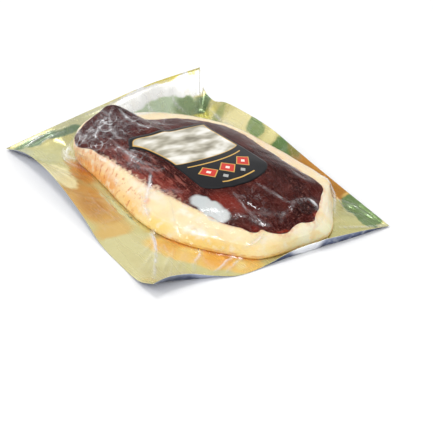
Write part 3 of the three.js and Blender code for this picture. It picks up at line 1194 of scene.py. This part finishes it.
@dataclass(frozen=True)
class ClearFilm:
    """Clear glossy film, with painted highlights where it folds and wrinkles.

    The mesh's attributes say how strongly a fold and a web of fine wrinkles show at each point; there
    the film is painted whiter and less mirror-like, as painted highlights. Each row of wrinkles is a
    scale and a share.
    """

    plain: Colour = rgb(240, 242, 244)
    base: Colour = rgb(250, 250, 252)
    tone: Colour = rgb(253, 253, 253)
    ior: float = 1.065
    roughness: float = 0.14
    crumple: float = 0.14
    depth: float = 0.16
    wisps: Cloud = Cloud(0.35, 0.3, 0.6, 1.0, 4, (1, 0.35, 1), 12)
    least_sheen: float = 0.3
    fog: Cloud = Cloud(0.16, 0.5, 0.74, 0.14, 5, (1, 0.6, 1), 30)
    wrinkles: Knots = ((0.1, 0.8), (0.24, 0.6))
    sheen_dulls: float = 2.0

    def material(self, effects: Effects) -> bpy.types.Material:
        """Makes the material.

        Args:
            effects: The shared node groups.

        Returns:
            The material.
        """
        made, board = new_material("clear film", self.plain)
        places = board.places()
        height = board.group(effects.crumple, {"Places": places, "Scale": self.crumple})
        bump = board.add("Bump", {"Height": height, "Distance": self.depth * MM}).outputs[0]
        wisps = board.maths("ADD", self.wisps.mask(board, places), self.least_sheen)
        web = self.fog.mask(board, places)
        for scale, share in self.wrinkles:
            lines = board.group(effects.wrinkles, {"Places": places, "Scale": scale})
            web = board.maths("ADD", web, board.scaled_value(lines, share))
        # Painted highlights: folds and wrinkle webs make the film whiter and less mirror-like.
        white = board.maths("ADD", board.maths("MULTIPLY", board.attribute("fold_sheen"), wisps),
                            board.maths("MULTIPLY", web, board.attribute("web_sheen")))
        edge_on = board.add("Fresnel", {"IOR": self.ior, "Normal": bump}).outputs[0]
        inside = board.add("NewGeometry", {}).outputs["Backfacing"]
        outside = board.maths("SUBTRACT", 1.0, inside)
        share = board.maths("MULTIPLY", board.maths("ADD", edge_on, white), outside)
        mirror = board.maths("SUBTRACT", 1.0, board.scaled_value(white, self.sheen_dulls))
        gloss = board.add("BsdfPrincipled", {
            "Base Color": self.base, "Metallic": mirror, "Roughness": self.roughness,
            "Normal": bump}).outputs[0]
        through = board.add("BsdfTransparent", {"Color": self.tone}).outputs[0]
        both = board.add("MixShader", {0: share, 1: through, 2: gloss}).outputs[0]
        board.add("OutputMaterial", {"Surface": both})
        return made


@dataclass(frozen=True)
class StickerPrint:
    """A black sticker with a misty field, gold lines and a row of lozenges.

    The print's places are in millimetres from the sticker's middle.
    """

    black: Colour = rgb(25, 25, 28)
    gold: Colour = rgb(214, 172, 92)
    red: Colour = rgb(206, 62, 50)
    cream: Colour = rgb(246, 232, 220)
    grey: Colour = rgb(176, 176, 174)
    roughness: float = 0.35
    specular: float = 0.15
    mist_base: Colour = rgb(126, 120, 102)
    mist: Tints = ((Cloud(0.06, 0.3, 0.55, 1.0, 2, (1, 1.3, 1), -28), rgb(196, 190, 172)),
                   (Cloud(0.06, 0.44, 0.68, 1.0, 2, (1, 1.3, 1), -28), rgb(240, 238, 231)))
    field_height: float = 17.2
    frame_half: Range = (23.6, 25.6)
    field_half: Range = (22.9, 24.9)
    line_half: float = 0.6
    lines: Knots = ((-14.5, 20), (-39.5, 12))
    large_row: Knots = ((-13, -25.5), (0, -25.5), (13, -25.5))
    large_halves: Triple = (6.2, 5.4, 1.7)
    small_row: Knots = ((-6.5, -33.5), (6.5, -33.5))
    small_half: float = 2.0
    lozenge_height: float = 1.2
    lozenge_edge: Range = (1.03, 0.97)
    blur: float = 0.1

    def material(self, effects: Effects) -> bpy.types.Material:
        """Makes the material.

        Args:
            effects: The shared node groups. Not used.

        Returns:
            The material.
        """
        made, board = new_material("sticker print", self.black)
        spread = board.add("UVMap", {}, uv_map="print").outputs[0]
        centre = (0, self.field_height)
        field_colour = tinted(board, spread, self.mist_base, self.mist)
        colour = board.mix(self.bar(board, spread, centre, self.frame_half), self.black, self.gold)
        colour = board.mix(self.bar(board, spread, centre, self.field_half), colour, field_colour)
        for height, half in self.lines:
            line = self.bar(board, spread, (0, height), (half, self.line_half))
            colour = board.mix(line, colour, self.gold)
        for middle in self.large_row:
            for half, shade in zip(self.large_halves, (self.gold, self.red, self.cream)):
                colour = board.mix(self.lozenge(board, spread, middle, half), colour, shade)
        for middle in self.small_row:
            lozenge = self.lozenge(board, spread, middle, self.small_half)
            colour = board.mix(lozenge, colour, self.grey)
        surface(board, {"Base Color": colour, "Roughness": self.roughness,
                        "Specular IOR Level": self.specular})
        return made

    def lozenge(self, board: Board, spread: Socket, middle: Range, half: float) -> Socket:
        """Masks a lozenge that stands on its point.

        Args:
            board: The nodes of the material.
            spread: Places on the sticker.
            middle: The lozenge's middle.
            half: Half its width.

        Returns:
            The mask.
        """
        moved = board.vector("SUBTRACT", spread, (*middle, 0))
        share = board.vector("DIVIDE", moved, (half, half * self.lozenge_height, 1))
        far = board.vector("ABSOLUTE", share, (0, 0, 0))
        total = board.add("VectorMath", {0: far, 1: (1, 1, 0)}, operation="DOT_PRODUCT")
        return board.step(total.outputs["Value"], *self.lozenge_edge)

    def bar(self, board: Board, spread: Socket, middle: Range, half: Range) -> Socket:
        """Masks a level bar.

        Args:
            board: The nodes of the material.
            spread: Places on the sticker.
            middle: The bar's middle.
            half: Half its width and half its height.

        Returns:
            The mask.
        """
        mask = 1.0
        for part, centre, reach in zip(board.add("SeparateXYZ", {0: spread}).outputs, middle, half):
            for side in (-1, 1):
                edge = centre + side * reach
                inside = board.step(part, edge + side * self.blur, edge - side * self.blur)
                mask = board.maths("MULTIPLY", mask, inside)
        return mask


# ---- pieces -----------------------------------------------------------------------------


def place(piece: bpy.types.Object, node: str, slot: str, materials: list[bpy.types.Material]) -> None:
    """Dresses a piece, puts it in the place of a CAD node and reports it.

    Args:
        piece: The new object.
        node: The CAD node that it stands for.
        slot: The record's material slot. Not used.
        materials: Its materials, in the order of its faces' material numbers.
    """
    for material in materials:
        piece.data.materials.append(material)
    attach(piece, "root")
    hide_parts(node)
    LOG.info("%s: %d faces", piece.name, len(piece.data.polygons))


@dataclass
class Folds:
    """The folds of the bag: those listed one by one, and small ones spread by chance."""

    shape: PackShape
    seed: int = 11
    flange_count: int = 70
    flange_start: Range = (2, 9)
    flange_reach: Range = (0.5, 1.0)
    flange_slant: Range = (-9, 9)
    flange_bend: Range = (-0.3, 0.3)
    flange_height: Range = (0.15, 0.5)
    flange_width: Range = (0.8, 1.8)
    flange_sheen: float = 0.12
    skin_count: int = 46
    skin_reach: Range = (0.35, 1.0)
    skin_turn: float = math.pi / 2 + 0.2
    skin_scatter: float = 0.5
    skin_length: Range = (10, 32)
    skin_bend: Range = (-0.15, 0.15)
    skin_height: Range = (0.1, 0.35)
    skin_width: Range = (0.6, 1.5)
    skin_sheen: Range = (0.05, 0.25)
    flange: list[Crease] = field(default_factory=lambda: [
        Crease(((-44, -30), (-47, -42), (-50, -55), (-55, -68), (-62, -81), (-73, -100)),
               1.2, 1.0, 0.9),
        Crease(((-36, -79), (-34, -84), (-39, -90), (-43, -93), (-49, -103)), 0.9, 0.9, 0.6),
        Crease(((-14, -99), (-24, -101), (-33, -106), (-40, -109)), 0.9, 0.9, 0.6),
        Crease(((-12, -101), (-23, -106), (-34, -113)), 0.7, 0.9, 0.5),
        Crease(((-45, -62), (-50, -70), (-52, -84)), 0.5, 1.2, 0.2),
        Crease(((70, -62), (76, -80), (79, -110)), 0.6, 0.9, 0.2),
        Crease(((68, -74), (69, -88), (74, -100)), 0.5, 0.8, 0.25),
        Crease(((52, -101), (64, -108), (78, -114)), 0.6, 1.0, 0.4),
        Crease(((79, 95), (74, 92), (71, 76)), 0.6, 1.5, 0.3),
        Crease(((77, 98), (74, 84), (71, 66), (72, 48)), 0.6, 1.5, 0.4),
        Crease(((58, 100), (52, 106), (54, 113)), 0.9, 1.2, 0.5),
        Crease(((34, 100), (30, 106), (31, 113)), 0.7, 1.2, 0.5),
        Crease(((-64, 101), (-50, 105), (-36, 106)), 0.7, 1.2, 0.3),
        Crease(((-70, 104), (-58, 108), (-44, 109)), 0.5, 1.0, 0.5),
        Crease(((-40, 110.8), (0, 112.9), (40, 114.8), (79, 116.6)), 0.5, 0.6, 0.4),
        Crease(((-76, 106), (-50, 107.8), (-20, 109.6), (20, 111.4)), 0.4, 0.6, 0.1),
        Crease(((-74, 70), (-64, 50), (-60, 26)), 0.7, 1.6, 0.1),
        Crease(((-52, 22), (-54, 0), (-56, -20)), 0.4, 1.0, 0.2),
        Crease(((-60, 20), (-62, -4), (-58, -30)), 0.4, 1.0, 0.15)])
    skin: list[Crease] = field(default_factory=lambda: [
        Crease(((-27, -9), (-34, -20), (-41, -29)), 0.3, 0.8, 0.8),
        Crease(((-34, -19), (-38, -25), (-42, -31)), 0.2, 1.1, 0.7),
        Crease(((-28, -34), (-33, -47), (-37, -60), (-39, -70)), 0.3, 0.8, 0.2),
        Crease(((0, -101), (-6, -103), (-16, -101)), 0.4, 0.8, 0.5),
        Crease(((-40, -20), (-44, -34), (-46, -44)), 0.5, 0.9, 0.6),
        Crease(((-44, 74), (-38, 60), (-25, 64), (-10, 80)), 0.9, 0.7, 0.45),
        Crease(((-10, 81), (-16, 74), (-28, 71), (-42, 66)), 0.9, 0.7, 0.5),
        Crease(((-11, 80), (-20, 66), (-25, 52), (-24, 38)), 0.9, 0.8, 0.45),
        Crease(((-13, 80), (-26, 68), (-36, 56), (-42, 50)), 0.7, 0.6, 0.4),
        Crease(((-18, 80), (-32, 70), (-44, 60)), 0.6, 0.6, 0.4),
        Crease(((-7, 78), (-9, 62), (-6, 44), (4, 34)), 1.1, 0.8, 0.6),
        Crease(((-5, 76), (0, 60), (8, 46), (20, 38)), 0.7, 0.7, 0.35),
        Crease(((-12, 60), (-22, 58), (-34, 52)), 0.3, 0.7, 0.2),
        Crease(((-14, 52), (-28, 46), (-36, 38)), 0.3, 0.8, 0.25),
        Crease(((-22, 52), (-30, 60), (-36, 74)), 0.6, 0.6, 0.4),
        Crease(((-36, 84), (-40, 74), (-43, 62)), 0.5, 0.9, 0.5),
        Crease(((-30, 45), (-28.5, 26), (-27, 6), (-23, -8)), 0.5, 0.9, 0.4),
        Crease(((51, -10), (52, -27), (51.5, -46), (52, -62), (53, -74)), 0.5, 0.6, 0.4),
        Crease(((15, -57), (18.6, -64), (21, -73), (23.6, -81), (28, -88)), 0.5, 0.6, 0.5),
        Crease(((11, -100), (17, -94), (25, -91), (33, -87.5), (40, -89), (42, -96)),
               0.6, 0.6, 0.35),
        Crease(((1, -60), (0, -72), (0, -84), (4, -96)), 0.5, 0.6, 0.35),
        Crease(((-8, -80), (0, -92), (6, -99)), 0.4, 0.8, 0.35),
        Crease(((38, -87), (41, -92), (40, -98)), 0.7, 0.7, 0.9),
        Crease(((66, -60), (67, -76), (56, -92)), 0.5, 0.9, 0.5),
        Crease(((-49, 58), (-51, 72), (-47, 86), (-38, 97)), 0.5, 0.9, 0.6),
        Crease(((-47, 62), (-48, 74), (-44, 86)), 0.4, 0.9, 0.3),
        Crease(((-51, 50), (-53, 66), (-50, 82), (-40, 96)), 0.2, 3.6, 0.35),
        Crease(((-45, 68), (-50, 66), (-55, 60)), 0.4, 0.9, 0.3),
        Crease(((68, -62), (73, -72), (77, -80)), 0.5, 0.9, 0.6),
        Crease(((63, -74), (70, -80), (76, -88)), 0.5, 0.9, 0.6)])

    def __post_init__(self) -> None:
        """Adds the small folds."""
        chance = random.Random(self.seed)
        for _ in range(self.flange_count):
            self.flange.append(self.flange_fold(chance))
        for _ in range(self.skin_count):
            self.skin.append(self.skin_fold(chance))

    def flange_fold(self, chance: random.Random) -> Crease:
        """Makes a small fold that runs out over the flange.

        Args:
            chance: The source of random numbers.

        Returns:
            The fold.
        """
        ray = chance.randrange(len(self.shape.reach))
        start = self.shape.foot[ray] + chance.uniform(*self.flange_start)
        room = self.shape.reach[ray] - start
        direction = self.shape.direction[ray]
        across = np.array((-direction[1], direction[0])) * chance.uniform(*self.flange_slant)
        first = self.shape.centre + direction * start
        last = first + direction * room * chance.uniform(*self.flange_reach) + across
        middle = (first + last) / 2 + across * chance.uniform(*self.flange_bend)
        return Crease((tuple(first), tuple(middle), tuple(last)),
                      chance.uniform(*self.flange_height), chance.uniform(*self.flange_width),
                      self.flange_sheen)

    def skin_fold(self, chance: random.Random) -> Crease:
        """Makes a small fold over the breast.

        Args:
            chance: The source of random numbers.

        Returns:
            The fold.
        """
        ray = chance.randrange(len(self.shape.reach))
        reach = self.shape.lean[ray] * chance.uniform(*self.skin_reach)
        first = self.shape.centre + self.shape.direction[ray] * reach
        turn = chance.gauss(self.skin_turn, self.skin_scatter)
        along = np.array((math.cos(turn), math.sin(turn))) * chance.uniform(*self.skin_length)
        bend = np.array((-along[1], along[0])) * chance.uniform(*self.skin_bend)
        return Crease((tuple(first), tuple(first + along / 2 + bend), tuple(first + along)),
                      chance.uniform(*self.skin_height), chance.uniform(*self.skin_width),
                      chance.uniform(*self.skin_sheen))


@dataclass
class Bag:
    """The two films of the bag.

    Each web of fine folds on the breast, painted as a whiter sheen on the clear film, is given by its
    middle, its half width and half length, and how strong it is.
    """

    shape: PackShape
    folds: Folds
    back_thickness: float = 0.25
    front_thickness: float = 0.12
    gap: float = 0.08
    flange_rings: int = 40
    lean_rings: int = 50
    band_rings: int = 9
    side_rings: int = 12
    side_end: float = 20
    last_ring: float = 0.985
    floor_shares: Triple = (0, 0.5, 0.97)
    calm: Range = (1, 7.0)
    flange_web_sheen: float = 0.07
    least_web_sheen: float = 0.025
    web_sheens: Knots = ((-22, 62, 18, 22, 0.8), (-48, 78, 6, 22, 0.6), (-28, 16, 7, 16, 0.6),
                    (-35, 40, 6, 12, 0.5), (53, -5, 3, 50, 0.1), (8, -74, 7, 14, 0.25),
                    (34, -92, 9, 5, 0.15), (12, 50, 14, 12, 0.35), (68, -74, 5, 12, 0.5),
                    (-30, -84, 10, 16, 0.3))

    def underside(self) -> np.ndarray:
        """Makes the flange's rings with its folds.

        Returns:
            The rings, from where the films meet to the bag's edge.
        """
        shares = np.append(np.linspace(0, self.last_ring, self.flange_rings), 1.0)
        rings = self.shape.flange(shares)
        reach = np.linalg.norm(rings[..., :2] - self.shape.centre, axis=-1)
        out = smooth_step(reach - self.shape.foot, *self.calm)
        rings[..., 2] += out * relief(rings, self.folds.flange)
        return rings

    def back(self) -> bpy.types.Object:
        """Makes the back film, silver below and gold above.

        Returns:
            The new object.
        """
        base = np.concatenate([self.shape.floor(self.floor_shares), self.underside()])
        top = raised(base, self.back_thickness)
        rings = np.concatenate([base, top[::-1]])
        return ring_body("gold_back_film", rings, switch=len(base) - 1)

    def skin(self) -> np.ndarray:
        """Makes the rings of the clear film over the breast.

        Returns:
            The rings, from the breast's middle to where the films meet.
        """
        lean = self.shape.lean_top(self.lean_rings)
        band = self.shape.fat_band(self.band_rings)[1:]
        turns = np.linspace(90, self.side_end, self.side_rings)[1:]
        hug = np.concatenate([self.shape.fat_side(turns), self.shape.flange([0.0])])
        shoulder, landing = band[-1], hug[-1]
        shares = np.linspace(0, 1, len(hug) + 1)[1:]
        chord = np.array([lerp(shoulder, landing, share) for share in shares])
        side = lerp(hug, chord, self.shape.tent[:, None])
        return np.concatenate([lean, band, side[:-1]])

    def front(self, sticker: Sticker) -> bpy.types.Object:
        """Makes the clear film.

        Args:
            sticker: The sticker, under which the film has no folds.

        Returns:
            The new object.
        """
        skin = self.skin()
        bare = 1 - sticker.cover(skin)
        folds = relief(skin, self.folds.skin) * bare
        over = raised(skin, self.gap + folds)
        flange = raised(self.underside(), self.back_thickness + self.gap)
        under = np.concatenate([over, flange])
        # Painted highlights: how white each fold and each web of fine wrinkles makes the film.
        folded = np.concatenate([fold_sheen(skin, self.folds.skin) * bare,
                                 fold_sheen(flange, self.folds.flange)])
        sheened = np.concatenate([self.web_sheen(skin) * bare,
                                 np.full(flange.shape[:-1], self.flange_web_sheen)])
        top = raised(under, self.front_thickness)
        rings = np.concatenate([under, top[::-1]])
        marks = {"fold_sheen": np.concatenate([folded, folded[::-1]]),
                 "web_sheen": np.concatenate([sheened, sheened[::-1]])}
        return ring_body("clear_front_film", rings, marks=marks)

    def web_sheen(self, places: np.ndarray) -> np.ndarray:
        """Finds how much painted whitish sheen from webs of fine folds the film has over the breast.

        Args:
            places: Points of any array shape, with x and y first in the last axis.

        Returns:
            A number from 0 to 1 for each point.
        """
        total = np.full(places.shape[:-1], self.least_web_sheen)
        for x, y, half_width, half_length, amount in self.web_sheens:
            across = (places[..., 0] - x) / half_width
            along = (places[..., 1] - y) / half_length
            total += amount * np.exp(-across**2 - along**2)
        return np.minimum(total, 1)


@dataclass
class Breast:
    """The breast: a layer of fat, and the lean meat that it holds."""

    shape: PackShape
    under_lean: float = 7
    wall_run: float = 3
    seam: float = 0.15
    seam_reach: float = 6
    under_shares: Triple = (0, 0.6, 0.97)
    bed_shares: Triple = (0, 0.5, 1)
    side_turns: Range = (6, 90)
    side_rings: int = 16
    band_rings: int = 12
    lean_rings: int = 64
    top_drop: float = 0.02
    rim_drop: float = 0.8

    def fat(self) -> bpy.types.Object:
        """Makes the fat, with the bed that the lean lies in.

        Returns:
            The new object.
        """
        shape = self.shape
        under = [shape.ring(shape.foot * share, shape.foot_height) for share in self.under_shares]
        side = shape.fat_side(np.linspace(*self.side_turns, self.side_rings))
        band = shape.fat_band(self.band_rings)[::-1][1:]
        rings = np.concatenate([under, side, band, self.bed(0)[::-1]])
        return ring_body("duck_fat", rings, marks={"edge": self.near_seam(rings)})

    def bed(self, gap: float) -> list[np.ndarray]:
        """Makes the rings that the lean's underside and the fat's bed share.

        Args:
            gap: How far inside the bed they lie, in millimetres.

        Returns:
            The rings, from the middle outwards.
        """
        reach = self.shape.lean - self.wall_run - gap
        return [self.shape.ring(reach * share, self.under_lean + gap) for share in self.bed_shares]

    def near_seam(self, rings: np.ndarray) -> np.ndarray:
        """Returns how near points are to the lean's outline, from 0 at some way off to 1."""
        reach = np.linalg.norm(rings[..., :2] - self.shape.centre, axis=-1)
        return np.clip(1 - np.abs(reach - self.shape.lean) / self.seam_reach, 0, 1)

    def lean(self) -> bpy.types.Object:
        """Makes the lean meat.

        Returns:
            The new object.
        """
        shape = self.shape
        top = shape.lean_top(self.lean_rings)
        top[..., 2] -= self.top_drop
        rim = shape.shaped([shape.ring(shape.lean - self.seam, shape.lean_height - self.rim_drop)])
        rings = np.concatenate([self.bed(self.seam), rim, top[::-1]])
        return ring_body("dried_lean", rings, marks={"edge": self.near_seam(rings)})


@dataclass
class Sticker:
    """The sticker on the clear film."""

    centre: tuple[float, float] = (10, -13.8)
    turn: float = 3.5
    half: float = 25
    left_flare: float = 9
    right_flare: float = 4.5
    flare_power: float = 5
    length: float = 92.5
    corner_rise: float = 4.5
    corner_place: float = -0.78
    corner_spread: float = 0.22
    corner_cut: float = 8
    cut_start: float = 0.82
    corner_power: float = 8
    arc_depth: float = 18
    arc_reach: float = 0.98
    thickness: float = 0.12
    lift: float = 0.08
    cover_margin: Range = (3, 1)
    cover_fade: float = 1.15
    above: float = 0.1
    columns: int = 44
    rows: int = 66

    def spot(self, across: float, share: float) -> tuple[float, float]:
        """Finds a place on the sticker, seen from above.

        Args:
            across: From -1 at the sticker's left edge to 1 at its right edge.
            share: From 0 at its low end to 1 at its top.

        Returns:
            The place's x and y.
        """
        flare = self.left_flare if across < 0 else self.right_flare
        half = self.half + flare * share**self.flare_power
        arc = 1 - math.sqrt(1 - (self.arc_reach * across) ** 2)
        away = (across - self.corner_place) / self.corner_spread
        cut = self.corner_cut * float(smooth_step(-across, self.cut_start, 1))
        corner = self.corner_rise * math.exp(-(away**2)) - cut
        along = (share - 0.5) * self.length + self.arc_depth * arc * (1 - share)
        along += corner * share**self.corner_power
        turned = Matrix.Rotation(math.radians(self.turn), 2) @ Vector((across * half, along))
        return turned.x + self.centre[0], turned.y + self.centre[1]

    def cover(self, places: np.ndarray) -> np.ndarray:
        """Finds where the sticker covers the film.

        Args:
            places: Points of any array shape, with x and y first in the last axis.

        Returns:
            1 where it covers the film, and 0 well clear of it, for each point.
        """
        half = np.array((self.half, self.length / 2)) + self.cover_margin
        outside = np.max(np.abs(places[..., :2] - self.centre) / half, axis=-1)
        return 1 - smooth_step(outside, 1.0, self.cover_fade)

    def build(self, film: bpy.types.Object) -> bpy.types.Object:
        """Lays the sticker on the film.

        Args:
            film: The clear film, which gives its height at each place.

        Returns:
            The new object.
        """
        tree = BVHTree.FromPolygons([v.co for v in film.data.vertices],
                                    [p.vertices for p in film.data.polygons])
        sheet = bmesh.new()
        bmesh.ops.create_grid(sheet, x_segments=self.columns, y_segments=self.rows, size=0.5,
                              calc_uvs=False)
        prints = sheet.loops.layers.uv.new("print")
        for face in sheet.faces:
            face.smooth = True
            for loop in face.loops:
                across, share = 2 * loop.vert.co.x, loop.vert.co.y + 0.5
                loop[prints].uv = (across * self.half, (share - 0.5) * self.length)
        for vertex in sheet.verts:
            x, y = self.spot(2 * vertex.co.x, vertex.co.y + 0.5)
            hit = tree.ray_cast(Vector((x * MM, y * MM, self.above)), Vector((0, 0, -1)))[0]
            vertex.co = (hit.x, hit.y, hit.z + self.lift * MM)
        inside = [vertex for vertex in sheet.verts if not vertex.is_boundary]
        bmesh.ops.smooth_vert(sheet, verts=inside, factor=0.5, use_axis_z=True)
        rise = Vector((0, 0, self.thickness * MM))
        top = bmesh.ops.extrude_face_region(sheet, geom=sheet.faces[:])["geom"]
        raised_verts = [item for item in top if isinstance(item, bmesh.types.BMVert)]
        bmesh.ops.translate(sheet, verts=raised_verts, vec=rise)
        bmesh.ops.recalc_face_normals(sheet, faces=sheet.faces)
        return finished("black_sticker", sheet)


# ---- studio -----------------------------------------------------------------------------


@dataclass(frozen=True)
class Softbox:
    """A square light: where it is from the pack's middle, its size and its strength."""

    name: str
    azimuth: float
    elevation: float
    distance: float
    size: float
    power: float

    def light(self, target: Vector) -> None:
        """Adds the light, turned to a point.

        Args:
            target: The point that it faces.
        """
        lamp = bpy.data.lights.new(self.name, "AREA")
        lamp.energy = self.power
        lamp.size = self.size
        turn, rise = math.radians(self.azimuth), math.radians(self.elevation)
        back = Vector((math.sin(turn) * math.cos(rise), -math.cos(turn) * math.cos(rise),
                       math.sin(rise)))
        box = bpy.data.objects.new(self.name, lamp)
        box.location = target + back * self.distance
        box.rotation_euler = back.to_track_quat("Z", "Y").to_euler()
        bpy.context.scene.collection.objects.link(box)


@dataclass
class Studio:
    """The pale floor, the soft light and the camera."""

    camera_place: tuple[float, float, float] = (-0.2965, -0.5480, 0.3099)
    azimuth: float = -30.52
    elevation: float = 28.24
    lens: float = 87.3
    sensor: float = 36.0
    floor_half: float = 3.0
    floor_drop: float = 0.0003
    floor_colour: Colour = rgb(250, 250, 250)
    floor_roughness: float = 0.8
    horizon: float = 1.14
    zenith: float = 0.62
    fade: Range = (0.15, 0.85)
    aim: Triple = (0, 0, 0.01)
    boxes: tuple[Softbox, ...] = (
        Softbox("front right softbox", 30, 25, 1.4, 0.4, 2.2),
        Softbox("overhead softbox", 205, 72, 1.4, 0.45, 5.0),
        Softbox("left softbox", -110, 40, 1.4, 0.45, 3.4))

    def build(self) -> None:
        """Adds everything."""
        self.add_floor()
        self.add_world()
        self.add_camera()
        for box in self.boxes:
            box.light(Vector(self.aim))

    def add_floor(self) -> None:
        """Adds the pale floor, just below the pack."""
        plane = bmesh.new()
        bmesh.ops.create_grid(plane, x_segments=1, y_segments=1, size=self.floor_half)
        bmesh.ops.translate(plane, verts=plane.verts, vec=(0, 0, -self.floor_drop))
        floor = finished("pale_floor", plane)
        made, board = new_material("pale floor", self.floor_colour)
        surface(board, {"Base Color": self.floor_colour, "Roughness": self.floor_roughness})
        floor.data.materials.append(made)

    def add_world(self) -> None:
        """Adds even white light from all round."""
        world = bpy.data.worlds.new("white studio")
        world.use_nodes = True
        board = Board(world.node_tree)
        place = board.add("TexCoord", {}).outputs["Generated"]
        up = board.add("SeparateXYZ", {0: place}).outputs[2]
        start, end = self.fade
        fade = {"Value": up, "From Min": start, "From Max": end, "To Min": self.horizon,
                "To Max": self.zenith}
        strength = board.add("MapRange", fade).outputs[0]
        light = board.add("Background", {"Color": (1, 1, 1, 1), "Strength": strength})
        board.add("OutputWorld", {"Surface": light.outputs[0]})
        bpy.context.scene.world = world
        bpy.context.scene.view_settings.view_transform = "Standard"

    def add_camera(self) -> None:
        """Adds the camera at the photograph's angle."""
        camera = bpy.data.cameras.new("camera")
        camera.sensor_width = self.sensor
        camera.lens = self.lens
        viewer = bpy.data.objects.new("camera", camera)
        viewer.location = self.camera_place
        viewer.rotation_euler = Euler((math.radians(90 - self.elevation), 0,
                                       math.radians(self.azimuth)))
        bpy.context.scene.collection.objects.link(viewer)
        bpy.context.scene.camera = viewer


def main() -> None:
    """Builds the pack and the studio."""
    logging.basicConfig(level=logging.INFO, format="%(message)s")
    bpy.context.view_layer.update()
    Studio().build()
    effects = Effects()
    shape = PackShape()
    bag = Bag(shape, Folds(shape))
    breast = Breast(shape)
    sticker = Sticker()
    place(bag.back(), "back_film", "gold_film",
          [SilverOutside().material(effects), GoldInside().material(effects)])
    place(breast.fat(), "fat_layer", "duck_fat", [DuckFat().material(effects)])
    place(breast.lean(), "lean_meat", "dried_lean", [DriedLean().material(effects)])
    film = bag.front(sticker)
    place(film, "front_film", "clear_film", [ClearFilm().material(effects)])
    place(sticker.build(film), "label", "label_paper", [StickerPrint().material(effects)])


if __name__ == "__main__":
    main()
